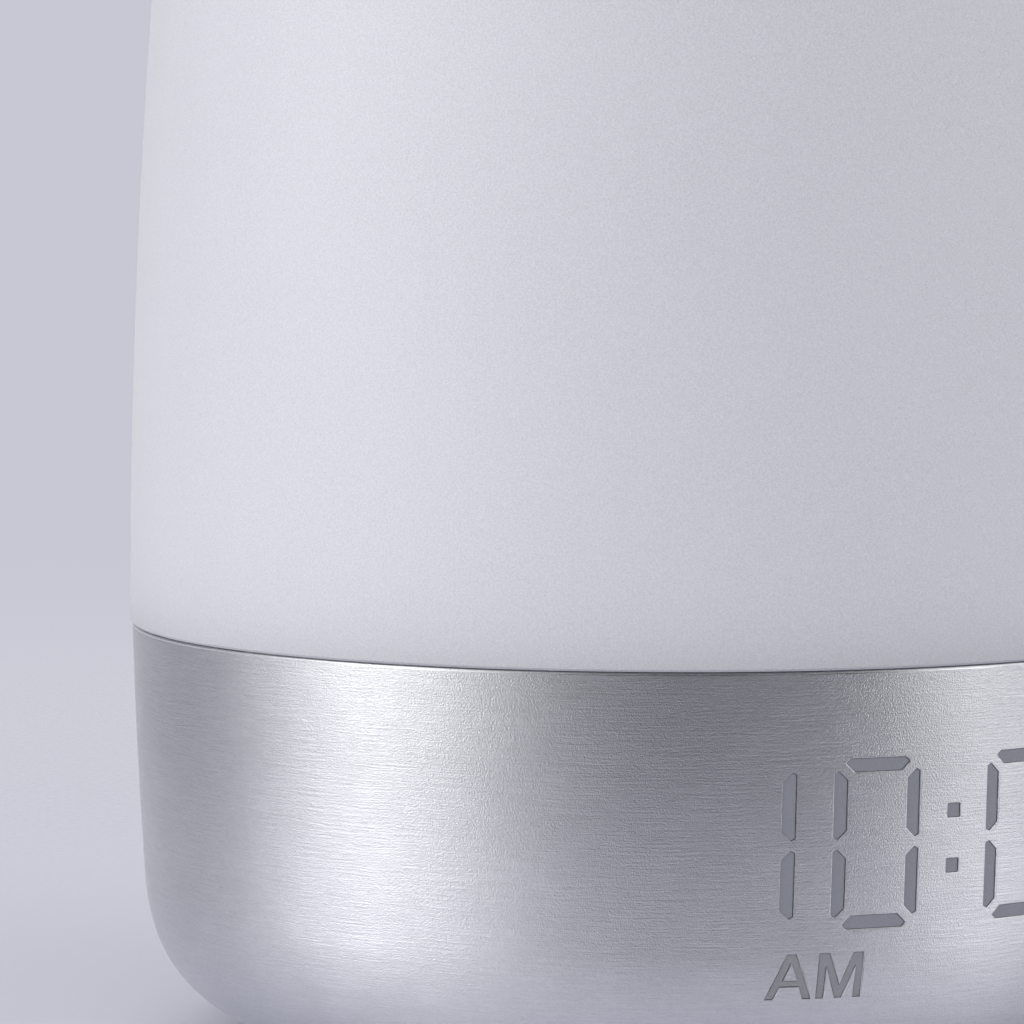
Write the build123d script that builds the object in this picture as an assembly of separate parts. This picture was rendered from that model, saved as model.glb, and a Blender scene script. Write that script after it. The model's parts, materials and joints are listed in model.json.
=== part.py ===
from build123d import *
from math import acos, asin, atan2, cos, degrees, pi, radians, sin, sqrt
import os

# Sunrise alarm clock: a brushed metal cup with the display, under a tall frosted dome.
# Millimetres. +Z is up, the display faces -Y, and the origin is the centre of the rest plane.

# ---- Driving dimensions: the metal cup ----
cup_lift = 3.0              # rest plane to the underside of the cup
cup_height = 44.0           # underside of the cup to its rim
cup_rim_radius = 59.75
cup_wall = 1.3
cup_rim_lean = 1.26         # degrees the wall leans in at the rim
cup_side_lean = 3.82        # degrees it leans in where the long side ends
cup_lead_lean = 17.26       # degrees it leans in where the bottom corner starts
cup_lead_radius = 23.1      # arc between the side and the bottom corner
cup_corner_radius = 14.9    # large rounded bottom corner
cup_hole_inset = 19.75      # rim to the edge of the opening in the cup's bottom, across
rim_chamfer = 0.22          # polished edge around the rim
polish_gap = 0.35           # height of the dark seam, filled by the gasket
gasket_inset = 0.1          # the gasket's edge, behind the edge of the rim's bevel

# ---- The dome ----
dome_overhang = 0.25        # the dome's side at the seam, proud of the metal rim
dome_wall = 2.4
dome_seam_lean = 0.2        # degrees the side leans in at the seam
dome_side_radius = 930.0    # slow curve of the side
dome_side_height = 92.0
dome_shoulder_radius = 40.0
dome_crown_radius = 150.0
dome_edge_round = 0.4       # rounded lower edge
collar_depth = 4.6          # spigot that enters the cup
collar_wall = 2.0
collar_clearance = 0.2

# ---- The display, placed down from the rim and across from the centre line ----
digit_height = 17.35
digit_width = 9.2
digit_pitch = 12.94         # from one digit to the next, within the hours and within the minutes
digit_gap_centre = 17.2     # from the last hour digit to the first minute digit
digit_top_drop = 8.58       # rim to the top of the digits
segment_width = 1.4
segment_tip = 0.45          # a segment's point, in from its outer side
segment_bevel = 0.94        # length of the long bevel at its inner side
segment_outer_bevel = 0.25
upright_inset = 1.22        # top of the digit to the point of its upright segment
upright_half_gap = 0.47     # mid line of the digit to the nearest points
bar_inset = 1.13            # side of the digit to the point of its level segment
segment_round = 0.15        # corner radius of the windows
colon_size = 1.5
colon_first_drop = 13.6     # rim to the top of the upper dot
colon_second_drop = 19.24
letter_height = 4.68
letter_stroke = 0.78
letter_drop = 28.29         # rim to the top of the letters
letter_a_centre = -16.9
letter_m_centre = -11.83
letter_width = 4.6
lens_thickness = 1.5
lens_half_width = 27.5
lens_top_drop = 7.0
lens_bottom_drop = 34.6
lens_gap = 0.1              # lens behind the metal wall
lens_recess = 0.12          # raised segments, below the metal's outer face
lens_pad_clearance = 0.05   # raised segments, inside their windows
mask_inset = 15.75          # rim to the flat back of the light mask, across
mask_gap = 0.1
mask_cell_growth = 0.08
chip_length = 1.6
chip_width = 0.8
chip_height = 0.5
chip_side_gap = 0.2         # a chip is this much shorter than its cell, where it would fill it
board_thickness = 1.6

# ---- Chassis, deck and boards ----
flange_lap = 3.0            # chassis ring, to each side of the edge of the cup's opening
flange_thickness = 2.0
post_radius = 3.4
post_inset = 4.0            # edge of the cup's opening to the circle of the four posts
post_angles = (45, 135, 225, 315)
main_board_z = 27.0
main_board_inset = 9.75     # rim to the main board's edge, across
board_edge_gap = 1.2        # main board to the display board and the key board
deck_thickness = 2.0
deck_clearance = 0.3        # deck rim to the cup wall
shelf_thickness = 2.0
shelf_depth = 4.0           # legs of the display shelf, from the mask's back
shelf_opening = 12.0        # half of the gap between the legs
foot_in = 6.5               # slotted feet of the key board, from the centre line
foot_out = 10.0
foot_wall = 1.5
foot_grip = 2.3
screw_radius = 1.45
screw_clearance = 0.15
screw_head_radius = 2.7
screw_head_height = 1.1
screw_slot_half = 1.4       # cross in the screw's head
screw_slot_width = 0.6
screw_bite = 9.0            # thread in the chassis post
deck_screw_bite = 10.0
pilot_clearance = 0.04
thin_gap = 0.05
run_past = 1.0              # a cutting solid runs this far past the face that it cuts
sink = 0.2                  # one part of a piece runs this far into the next, so that they are one

# ---- Bottom cover, foot and speaker ----
cover_lap = 4.0             # bottom cover, past the edge of the cup's opening
cover_thickness = 2.2
cover_edge = 0.5            # bevel around the cover
foot_inset = 0.8            # foot ring, in from the cover's edge
foot_width = 3.3
foot_round = 0.5
foot_seat = 0.8             # depth of the groove that holds the foot
speaker_y = -10.0
speaker_inset = 18.0        # edge of the cup's opening to the speaker's flange
speaker_flange = 1.2
speaker_flange_width = 2.0  # flat ring of the flange, inside its edge
speaker_edge = 3.4          # flange's edge to the free opening
speaker_pad = 1.2           # foam ring under the speaker
speaker_depth = 8.6         # flange to the front plate
speaker_plate = 2.0
speaker_magnet_radius = 14.5
speaker_magnet_height = 5.0
speaker_wall = 1.0
basket_window_width = 11.0
basket_window_edge = 1.2    # basket's windows, from the flange and from the front plate
surround_sink = 0.1         # surround and cone edge, under the top of the flange
surround_thickness = 0.35
surround_lap = 0.2          # cone's edge inside the surround
coil_radius = 6.2
coil_wall = 0.4
coil_gap = 0.6
coil_tube_height = 3.2      # tube of the voice coil, over the front plate's underside
coil_height = 2.6
coil_thickness = 0.3
cone_neck_drop = 2.0        # front plate to the cone's neck
cone_thickness = 0.6
dust_cap_rise = 2.0
grille_hole_radius = 1.1
grille_pitch = 3.6
grille_inset = 5.5          # flange's edge to the outermost holes' centres
clip_width = 24.0           # degrees
clip_lip = 1.0
clip_thickness = 1.5

# ---- Backup cell and its door ----
door_inset = 1.9            # foot ring to the door's edge
door_radius = 11.5
door_flange = 1.1
door_clearance = 0.2
cell_radius = 10.0
cell_height = 3.2
cell_clearance = 0.4
cell_rim_round = 0.3
cell_rim_width = 1.2
lug_reach = 1.2
lug_height = 0.9
lug_half_angle = 12.0
holder_wall = 1.3
contact_height = 0.9
contact_thickness = 0.25
contact_half = 7.0          # half of the contact strip's length
contact_bend = 4.0          # axis to where the strip bends down
contact_width = 4.0
coin_slot_width = 1.8
coin_slot_length = 14.0
coin_slot_depth = 0.8

# ---- Keys and power inlet at the back ----
key_names = ["time", "alarm", "minus", "plus", "light"]
key_drop = 17.0             # rim to the keys' centres
key_pitch = 11.0
key_radius = 3.4
key_clearance = 0.15
key_proud = 0.8
key_collar_radius = 4.3
key_collar_thickness = 0.9
key_collar_gap = 0.4
key_stem_radius = 1.7
key_board_inset = 16.75     # rim to the inner face of the key board, across
key_board_half_width = 29.0
key_board_edge = 1.0        # inlet's underside to the key board's lower edge
key_board_top_edge = 3.0    # keys' collars to its upper edge
header_start = 6.0          # key board's end to the first pin
switch_size = 6.0
header_pins = 8
header_pitch = 2.54
header_pin = 0.6            # side of a pin
header_reach = 4.0          # pins, over the main board's edge
switch_height = 3.5
plunger_radius = 1.6
plunger_height = 0.9
plunger_root = 0.2          # plunger inside its switch at rest
plunger_well = 0.3          # room left in the switch at full travel
key_travel = 0.5
jack_drop = 28.5
jack_width = 9.0
jack_tall = 9.6
jack_bore_radius = 2.9
jack_bore_depth = 9.0
jack_pin_radius = 1.0
jack_window_radius = 4.2
jack_gap = 0.4
jack_bore_end = 0.5         # pin's root, in the bore's end wall
jack_pin_back = 1.0         # pin's tip, behind the bore's mouth

# ---- Light column and the button on top ----
column_flat = 8.5           # axis to each flat of the six-sided column
column_wall = 1.8
column_height = 112.0
strip_width = 8.0
strip_thickness = 1.0
strip_end_gap = 3.0
led_rows = 8
led_width = 2.8
led_length = 3.5
led_height = 0.8
cap_thickness = 2.5
cap_radius = 11.5
guide_radius = 9.6
guide_wall = 1.4
guide_gap = 0.3             # switch board, inside the guide
snooze_travel = 0.8
button_radius = 15.0
button_gap = 0.35
button_proud = 0.7
button_wall = 1.8
button_skirt_gap = 0.3
button_skirt_wall = 1.3
button_skirt_lap = 6.0      # skirt, over the guide
button_stem_radius = 2.2
button_edge_round = 0.5
guide_top_gap = 2.0

# ---- Leads and parts on the main board ----
lead_radius = 0.7
lead_pitch = 3.0
lead_socket_x = 13.0
lead_hole_radius = 3.0
cap_hole_radius = 2.6
lead_root = 1.5             # leads and ribbon, inside their sockets above the board
speaker_lead_run = 9.0      # speaker's edge out to where its leads go up
speaker_tab_inset = 2.4     # speaker's edge in to where its leads start
socket_height = 4.0
socket_depth = 4.4
socket_end = 3.0            # ribbon's socket is this much wider than the ribbon
socket_wall = 0.6
socket_floor = 1.5
ribbon_width = 16.0
ribbon_thickness = 0.3
ribbon_x = 0.0
ribbon_run = 8.4            # display board's back to the ribbon's socket
ribbon_rise = 3.0           # ribbon over its socket
crystal_gap = 6.0           # ribbon's socket to the clock crystal
crystal_length = 8.0
crystal_width = 3.0
crystal_height = 2.4
chip_places = [(-14, -16, 7, 7, 1.4), (10, -20, 4, 5, 1.2), (-20, 8, 5, 6, 1.5), (24, -5, 6, 6, 1.6)]
capacitor_places = [(30, 14, 4.0, 9.0), (38, 6, 3.2, 7.5), (-36, 10, 3.2, 7.5), (-30, 19, 2.5, 6.0)]


def sind(angle):
    return sin(radians(angle))


def cosd(angle):
    return cos(radians(angle))


# ---- Outlines, as arcs that run on from each other ----
def tangent_arcs(r, z, angle, turns):
    """Arcs (centre r, centre z, radius, from, to) by the angle of the outward normal."""
    arcs = []
    for radius, end in turns:
        centre_r = r - radius * cosd(angle)
        centre_z = z - radius * sind(angle)
        arcs.append((centre_r, centre_z, radius, angle, end))
        r = centre_r + radius * cosd(end)
        z = centre_z + radius * sind(end)
        angle = end
    return arcs


def cup_arcs():
    """The cup's outer line, from its rim down to the flat bottom."""
    corner_drop = cup_corner_radius * (1 - sind(cup_lead_lean))
    lead_drop = cup_lead_radius * (sind(cup_lead_lean) - sind(cup_side_lean))
    side_drop = cup_height - corner_drop - lead_drop
    side_radius = side_drop / (sind(cup_side_lean) - sind(cup_rim_lean))
    turns = [(side_radius, -cup_side_lean), (cup_lead_radius, -cup_lead_lean)]
    turns.append((cup_corner_radius, -90))
    return tangent_arcs(cup_rim_radius, seam_z, -cup_rim_lean, turns)


def dome_arcs():
    """The dome's outer line, from its lower edge up to the crown on the axis."""
    side_end = degrees(asin(sind(dome_seam_lean) + dome_side_height / dome_side_radius))
    side = tangent_arcs(dome_radius, dome_z, dome_seam_lean, [(dome_side_radius, side_end)])[0]
    shoulder_r = side[0] + (dome_side_radius - dome_shoulder_radius) * cosd(side_end)
    crown_start = degrees(acos(shoulder_r / (dome_crown_radius - dome_shoulder_radius)))
    turns = [(dome_side_radius, side_end), (dome_shoulder_radius, crown_start)]
    turns.append((dome_crown_radius, 90))
    return tangent_arcs(dome_radius, dome_z, dome_seam_lean, turns)


def radius_at(arcs, z, inset=0.0):
    """Radius of an outline, moved in by inset, at the height z."""
    for centre_r, centre_z, radius, start, end in arcs:
        low, high = sorted((start, end))
        lean = (z - centre_z) / (radius - inset)
        if abs(lean) <= 1 and low <= degrees(asin(lean)) <= high:
            return centre_r + (radius - inset) * sqrt(1 - lean * lean)
    return arcs[0][0] + arcs[0][2] - inset


def height_at(arcs, r, inset=0.0):
    """Height of an outline's last arcs, moved in by inset, at the radius r."""
    for centre_r, centre_z, radius, start, end in reversed(arcs):
        reach = (r - centre_r) / (radius - inset)
        if abs(reach) <= 1 and reach <= max(cosd(start), cosd(end)):
            rise = (radius - inset) * sqrt(1 - reach * reach)
            return centre_z + rise if end > 0 else centre_z - rise
    return arcs[-1][1]


def inside(arcs, inset, open_z):
    """The turned solid inside an outline, moved in by inset, and closed at open_z."""
    edges = []
    for centre_r, centre_z, radius, start, end in arcs:
        edges.append(CenterArc((centre_r, centre_z), radius - inset, start, end - start))
    first, last = edges[0] @ 0, edges[-1] @ 1
    points = [last, Vector(0, last.Y), Vector(0, open_z), Vector(first.X, open_z), first]
    for a, b in zip(points, points[1:]):
        if (b - a).length > 1e-4:
            edges.append(Line(a, b))
    return revolve(Plane.XZ * make_face(edges), Axis.Z)


# ---- Simple solids by their limits ----
def disc(radius, low, high, x=0.0, y=0.0):
    return Pos(x, y, (low + high) / 2) * Cylinder(radius, high - low)


def tube(outer, inner, low, high, x=0.0, y=0.0):
    return disc(outer, low, high, x, y) - disc(inner, low - run_past, high + run_past, x, y)


def block(x0, x1, y0, y1, z0, z1):
    size = Box(x1 - x0, y1 - y0, z1 - z0)
    return Pos((x0 + x1) / 2, (y0 + y1) / 2, (z0 + z1) / 2) * size


def rod_y(radius, y0, y1, x, z):
    return Pos(x, (y0 + y1) / 2, z) * Rot(90, 0, 0) * Cylinder(radius, abs(y1 - y0))


def turned(points, x=0.0, y=0.0, arc=360.0, start=0.0):
    """A profile of straight lines through (r, z) points, turned about the vertical at x, y."""
    profile = Plane.XZ * make_face(Polyline(*points, close=True))
    return Pos(x, y, 0) * Rot(0, 0, start) * revolve(profile, Axis.Z, revolution_arc=arc)


def joined(solids):
    whole = solids[0]
    for solid in solids[1:]:
        whole = whole + solid
    return whole


def group(solids):
    return Compound(children=[solid for part in solids for solid in part.solids()])


# ---- Heights and places that follow from the driving dimensions ----
cup_hole_radius = cup_rim_radius - cup_hole_inset
dome_radius = cup_rim_radius + dome_overhang
mask_back = cup_rim_radius - mask_inset
key_board_y = cup_rim_radius - key_board_inset
main_board_radius = cup_rim_radius - main_board_inset
flange_inner_radius = cup_hole_radius - flange_lap
flange_outer_radius = cup_hole_radius + flange_lap
post_circle = cup_hole_radius - post_inset
cover_radius = cup_hole_radius + cover_lap
foot_outer_radius = cover_radius - foot_inset
foot_inner_radius = foot_outer_radius - foot_width
door_y = foot_inner_radius - door_inset - door_radius
speaker_radius = cup_hole_radius - speaker_inset
speaker_opening = speaker_radius - speaker_edge
grille_radius = speaker_radius - grille_inset
outside = cup_rim_radius + 5 * run_past
seam_z = cup_lift + cup_height
dome_z = seam_z + polish_gap
lens_high_z = seam_z - lens_top_drop
lens_low_z = seam_z - lens_bottom_drop
cup_line = cup_arcs()
dome_line = dome_arcs()
cup_floor_z = cup_lift + cup_wall
cover_low_z = cup_lift - cover_thickness
deck_top_z = seam_z - collar_depth
deck_low_z = deck_top_z - deck_thickness
board_top_z = main_board_z + board_thickness
display_board_back = mask_back - board_thickness
key_board_face = key_board_y + board_thickness
switch_face = key_board_face + switch_height
key_z = seam_z - key_drop
jack_z = seam_z - jack_drop
column_low_z = deck_top_z
column_top_z = column_low_z + column_height
cap_top_z = column_top_z + cap_thickness
snooze_board_top = cap_top_z + board_thickness
snooze_switch_top = snooze_board_top + switch_height
snooze_plunger_top = snooze_switch_top + plunger_height
crown_z = dome_line[-1][1] + dome_crown_radius
button_low_z = height_at(dome_line, button_radius) - dome_wall
speaker_low_z = cup_lift + speaker_pad
speaker_back_z = speaker_low_z + speaker_flange + speaker_depth
magnet_low_z = speaker_back_z + speaker_plate
magnet_top_z = magnet_low_z + speaker_magnet_height
post_places = [(post_circle * cosd(a), post_circle * sind(a)) for a in post_angles]


# ---- The windows of the display, drawn flat as seen from the front ----
def upright(x, top, bottom, outer):
    """An upright segment between two heights; outer is -1 or 1, its side away from the digit."""
    half = segment_width / 2
    points = []
    for end, way in ((top, -1), (bottom, 1)):
        ends = [(half * outer, end + way * segment_outer_bevel)]
        ends.append(((half - segment_tip) * outer, end))
        ends.append((-half * outer, end + way * segment_bevel))
        points += ends if way < 0 else ends[::-1]
    return rounded([(x + across, z) for across, z in points])


def level(left, right, z, outer):
    """A level segment between two sides; outer is -1 or 1, up or down, or 0 in the middle."""
    half = segment_width / 2
    tip = (half - segment_tip) * outer
    far = segment_bevel if outer == 0 else segment_outer_bevel * 2
    points = []
    for end, way in ((left, 1), (right, -1)):
        ends = [(end + way * segment_bevel, -half * (outer or 1)), (end, tip)]
        ends.append((end + way * far, half * (outer or 1)))
        points += ends if way > 0 else ends[::-1]
    return rounded([(x, z + up) for x, up in points])


def rounded(points):
    face = make_face(Polyline(*points, close=True))
    return fillet(face.vertices(), segment_round)


def digit(centre):
    """The seven segments of a digit, by their usual letters."""
    top = seam_z - digit_top_drop
    bottom = top - digit_height
    middle = (top + bottom) / 2
    left, right = centre - digit_width / 2, centre + digit_width / 2
    half = segment_width / 2
    high = (top - upright_inset, middle + upright_half_gap)
    low = (middle - upright_half_gap, bottom + upright_inset)
    span = (left + bar_inset, right - bar_inset)
    return {
        "a": level(*span, top - half, 1),
        "b": upright(right - half, *high, 1),
        "c": upright(right - half, *low, 1),
        "d": level(*span, bottom + half, -1),
        "e": upright(left + half, *low, -1),
        "f": upright(left + half, *high, -1),
        "g": level(*span, middle, 0),
    }


def colon_dots():
    dots = []
    for drop in (colon_first_drop, colon_second_drop):
        dots.append(Pos(0, seam_z - drop - colon_size / 2) * Rectangle(colon_size, colon_size))
    return dots


def letter_a():
    """The outline of a bold flat-topped A, and the counter inside it."""
    top = seam_z - letter_drop
    bottom = top - letter_height
    half = letter_width / 2
    slant = letter_stroke / cosd(degrees(atan2(half - letter_stroke / 2, letter_height)))
    flat = letter_stroke * 0.6
    inner_foot = half - slant
    bar_top = bottom + letter_height * 0.42
    bar_low = bottom + letter_height * 0.28
    run = (half - flat) / letter_height
    outer = [(-half, bottom), (-flat, top), (flat, top), (half, bottom), (inner_foot, bottom)]
    foot_at_bar = inner_foot - run * (bar_low - bottom)
    outer += [(foot_at_bar, bar_low), (-foot_at_bar, bar_low), (-inner_foot, bottom)]
    counter_half = inner_foot - run * (bar_top - bottom)
    counter_top = bar_top + counter_half / run
    counter = [(-counter_half, bar_top), (0, counter_top), (counter_half, bar_top)]
    place = Pos(letter_a_centre, 0)
    faces = [place * make_face(Polyline(*points, close=True)) for points in (outer, counter)]
    return faces[0], faces[1]


def letter_m():
    """A bold M whose diagonals meet at the foot."""
    top = seam_z - letter_drop
    bottom = top - letter_height
    half = letter_width / 2
    shoulder = half - letter_stroke * 1.4
    point = letter_stroke * 0.45
    inner = half - letter_stroke
    notch = top - letter_height * 0.3
    dip = top - letter_height * 0.7
    side = [(-half, bottom), (-half, top), (-shoulder, top)]
    middle = [(0, dip), (shoulder, top), (half, top), (half, bottom), (inner, bottom)]
    under = [(inner, notch), (point, bottom), (-point, bottom), (-inner, notch)]
    points = side + middle + under + [(-inner, bottom)]
    return Pos(letter_m_centre, 0) * make_face(Polyline(*points, close=True))


hour_first = -digit_gap_centre / 2 - digit_pitch
hour_second = -digit_gap_centre / 2
minute_first = digit_gap_centre / 2
minute_second = digit_gap_centre / 2 + digit_pitch
digit_places = [hour_first, hour_second, minute_first, minute_second]
digits = [digit(place) for place in digit_places]
shown = ["bc", "abcdef", "abcdef", "abcdef"]        # 10:00


def window_faces():
    """Every opening in the metal: the shown segments, the colon and AM."""
    faces = []
    for segments, names in zip(digits, shown):
        faces += [segments[name] for name in names]
    return faces + colon_dots() + [letter_a()[0], letter_m()]


def front_prisms(faces, grow=0.0):
    """The flat shapes as prisms that run from inside the light mask out through the front wall."""
    near = mask_back - run_past
    prisms = []
    for face in faces:
        shape = offset(face, grow) if grow else face
        prisms += extrude(Plane.XZ.offset(near) * shape, outside - near).solids()
    return prisms


# ---- The shell ----
def key_x(index):
    return (index - (len(key_names) - 1) / 2) * key_pitch


def cup_layer(outer_inset, inner_inset):
    """The space between two insets from the cup's outer face, open at the rim."""
    return inside(cup_line, outer_inset, seam_z) - inside(cup_line, inner_inset, seam_z + run_past)


def metal_cup():
    cup = cup_layer(0, cup_wall)
    cup -= disc(cup_hole_radius, cup_lift - run_past, cup_floor_z + run_past)
    rim = cup.edges().filter_by(GeomType.CIRCLE).filter_by_position(Axis.Z, seam_z - 0.01, seam_z + 0.01)
    cup = chamfer(rim.sort_by(SortBy.RADIUS)[-1], rim_chamfer)
    for prism in front_prisms(window_faces()):
        cup -= prism
    for index in range(len(key_names)):
        cup -= rod_y(key_radius + key_clearance, key_board_y, outside, key_x(index), key_z)
    cup -= rod_y(jack_window_radius, key_board_y, outside, 0, jack_z)
    return cup


def collar_outer():
    return cup_rim_radius - cup_wall - collar_clearance


def diffuser_dome():
    dome = inside(dome_line, 0, dome_z)
    low_edge = dome.edges().filter_by(GeomType.CIRCLE).sort_by(Axis.Z)[0]
    dome = fillet(low_edge, dome_edge_round)
    dome -= inside(dome_line, dome_wall, dome_z - run_past)
    outer = collar_outer()
    dome += tube(outer, outer - collar_wall, deck_top_z, dome_z + dome_wall)
    return dome - disc(button_radius + button_gap, button_low_z - dome_wall, crown_z + run_past)


def letter_insert():
    """The metal inside the A, bonded to the lens behind it."""
    counter = front_prisms([letter_a()[1]])[0]
    return counter & cup_layer(0, cup_wall + lens_gap)


def seam_gasket():
    outer = cup_rim_radius - rim_chamfer - gasket_inset
    return tube(outer, collar_outer() + collar_clearance, seam_z, dome_z)


# ---- The display ----
def display_box():
    """The display's block of space, from the mask's flat back out through the wall."""
    return block(-lens_half_width, lens_half_width, -outside, -mask_back, lens_low_z, lens_high_z)


def display_lens():
    inner = cup_wall + lens_gap + lens_thickness
    lens = cup_layer(cup_wall + lens_gap, inner) & display_box()
    pads = cup_layer(lens_recess, inner - lens_thickness / 2)
    for prism in front_prisms(window_faces(), grow=-lens_pad_clearance):
        lens += prism & pads
    well = front_prisms([letter_a()[1]], grow=lens_pad_clearance)[0]
    return lens - (well & cup_layer(-run_past, cup_wall + lens_gap))


def cell_faces():
    """Every light cell: all segments, the colon, AM and PM."""
    faces = [segments[name] for segments in digits for name in "abcdefg"]
    middle_z = seam_z - letter_drop - letter_height / 2
    places = (letter_a_centre, letter_m_centre, -letter_m_centre, -letter_a_centre)
    marks = [Pos(place, middle_z) * Rectangle(letter_width, letter_height) for place in places]
    return faces + colon_dots() + marks


def display_mask():
    inset = cup_wall + lens_gap + lens_thickness + mask_gap
    mask = inside(cup_line, inset, seam_z) & display_box()
    return mask - front_prisms(cell_faces(), grow=mask_cell_growth)


def display_leds():
    chips = []
    for face in cell_faces():
        centre, size = face.center(), face.bounding_box().size
        wide, tall = (chip_length, chip_width) if size.X > size.Y else (chip_width, chip_length)
        wide, tall = min(wide, size.X - chip_side_gap), min(tall, size.Y - chip_side_gap)
        chips.append(block(centre.X - wide / 2, centre.X + wide / 2, -mask_back - chip_height,
                           -mask_back, centre.Y - tall / 2, centre.Y + tall / 2))
    return group(chips)


def display_board():
    return block(-lens_half_width, lens_half_width, -mask_back, -display_board_back,
                 lens_low_z, lens_high_z)


# ---- Chassis and deck ----
def inner_chassis():
    """Ring on the cup's bottom flange, four posts for the boards, and the display shelf."""
    flange_top = cup_floor_z + flange_thickness
    parts = [tube(flange_outer_radius, flange_inner_radius, cup_floor_z, flange_top)]
    parts += [disc(post_radius, cup_lift, main_board_z, x, y) for x, y in post_places]
    shelf_low = lens_low_z - shelf_thickness
    back = shelf_depth - mask_back
    room = inside(cup_line, cup_wall + lens_gap + deck_clearance, seam_z)
    shelf = room & block(-lens_half_width, lens_half_width, -outside, back, shelf_low, lens_low_z)
    legs = room & block(-lens_half_width, lens_half_width, -mask_back, back, cup_floor_z, shelf_low)
    gap = block(-shelf_opening, shelf_opening, -outside, 0, flange_top, shelf_low)
    chassis = joined(parts + [shelf, legs - gap] + key_board_feet())
    chassis -= disc(holder_inner + holder_wall + deck_clearance, cup_lift, main_board_z, 0, door_y)
    for x, y in post_places:
        chassis -= disc(screw_radius + pilot_clearance, cup_lift - run_past,
                        cup_lift + screw_bite + run_past, x, y)
        chassis -= disc(screw_radius + pilot_clearance, main_board_z - deck_screw_bite - run_past,
                        main_board_z + run_past, x, y)
    return chassis


def key_board_feet():
    """Two slotted feet that hold the key board's lower edge, one each side of the inlet."""
    near, far = key_board_y - foot_wall, key_board_face + foot_wall
    ring_reach = sqrt(flange_outer_radius ** 2 - foot_out ** 2) - foot_wall
    low_z, high_z = cup_floor_z + flange_thickness / 2, key_board_low() + foot_grip
    feet = []
    for side in (-1, 1):
        x0, x1 = sorted((side * foot_in, side * foot_out))
        foot = block(x0, x1, near, far, low_z, high_z)
        foot += block(x0, x1, ring_reach, far, low_z, cup_floor_z + flange_thickness)
        foot -= block(x0 - run_past, x1 + run_past, key_board_y - thin_gap,
                      key_board_face + thin_gap, key_board_low(), high_z + run_past)
        feet.append(foot)
    return feet


def light_deck():
    """White plate under the dome, on four posts that clamp the main board."""
    radius = radius_at(cup_line, deck_low_z, cup_wall) - deck_clearance
    deck = disc(radius, deck_low_z, deck_top_z)
    for x, y in post_places:
        deck += disc(post_radius, board_top_z, deck_low_z + thin_gap, x, y)
        deck -= disc(screw_radius + screw_clearance, board_top_z - run_past, deck_top_z + run_past, x, y)
        deck -= disc(screw_head_radius + screw_clearance, deck_top_z - screw_head_height,
                     deck_top_z + run_past, x, y)
    return deck - disc(lead_hole_radius, deck_low_z - run_past, deck_top_z + run_past,
                       column_flat / 2, 0)


def screw(x, y, seat_z, way, length):
    """A flat-headed screw; the head stands from seat_z against the way the screw points."""
    head = disc(screw_head_radius, *sorted((seat_z, seat_z - way * screw_head_height)), x, y)
    shank = disc(screw_radius, *sorted((seat_z, seat_z + way * length)), x, y)
    slot_z = seat_z - way * screw_head_height
    low_z, high_z = slot_z - screw_slot_width, slot_z + screw_slot_width
    long, short = screw_slot_half, screw_slot_width / 2
    for half_x, half_y in ((long, short), (short, long)):
        head -= block(x - half_x, x + half_x, y - half_y, y + half_y, low_z, high_z)
    return head + shank


def cover_screws():
    seat = cover_low_z + screw_head_height + thin_gap
    length = cup_lift - seat + screw_bite
    return group([screw(x, y, seat, 1, length) for x, y in post_places])


def deck_screws():
    seat = deck_top_z - screw_head_height
    length = seat - main_board_z + deck_screw_bite
    return group([screw(x, y, seat, -1, length) for x, y in post_places])


# ---- Circuit boards ----
def main_board():
    board = disc(main_board_radius, main_board_z, board_top_z)
    front = -display_board_back + board_edge_gap
    back = key_board_y - board_edge_gap
    board &= block(-main_board_radius, main_board_radius, front, back, main_board_z, board_top_z)
    for x, y in post_places:
        board -= disc(screw_radius + screw_clearance, main_board_z - run_past, board_top_z + run_past, x, y)
    return board


def board_chips():
    """Controller, clock chip, amplifier and light driver on the main board."""
    chips = [block(x - wide / 2, x + wide / 2, y - deep / 2, y + deep / 2, board_top_z,
                   board_top_z + tall) for x, y, wide, deep, tall in chip_places]
    near = ribbon_socket_y + crystal_gap
    crystal = block(-crystal_length / 2, crystal_length / 2, near, near + crystal_width,
                    board_top_z, board_top_z + crystal_height)
    return group(chips + [crystal])


def board_capacitors():
    return group([disc(radius, board_top_z, board_top_z + tall, x, y)
                  for x, y, radius, tall in capacitor_places])


def board_socket(x, y, wide, deep):
    shell = block(x - wide / 2, x + wide / 2, y - deep / 2, y + deep / 2, board_top_z,
                  board_top_z + socket_height)
    half_x, half_y = wide / 2 - socket_wall, deep / 2 - socket_wall
    hollow = block(x - half_x, x + half_x, y - half_y, y + half_y, board_top_z + socket_floor,
                   board_top_z + socket_height + run_past)
    return shell - hollow


def board_sockets():
    return group([board_socket(ribbon_x, ribbon_socket_y, ribbon_width + socket_end, socket_depth),
                  board_socket(lead_socket_x, 0, socket_depth, lead_pitch + socket_depth)])


def key_board_low():
    return jack_z - jack_tall / 2 - key_board_edge


def key_board():
    return block(-key_board_half_width, key_board_half_width, key_board_y, key_board_face,
                 key_board_low(), key_z + key_collar_radius + key_board_top_edge)


def key_header():
    """Right-angle pins that carry the key board on the main board."""
    pins = []
    edge_y = key_board_y - board_edge_gap
    inner_y, bend_z = edge_y - header_reach, board_top_z + header_pin
    for index in range(header_pins):
        x = header_start - key_board_half_width + index * header_pitch
        x0, x1 = x - header_pin / 2, x + header_pin / 2
        pin = block(x0, x1, inner_y, key_board_y, bend_z, bend_z + header_pin)
        pin += block(x0, x1, inner_y, inner_y + header_pin, board_top_z, bend_z + header_pin / 2)
        pins.append(pin)
    return group(pins)


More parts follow.
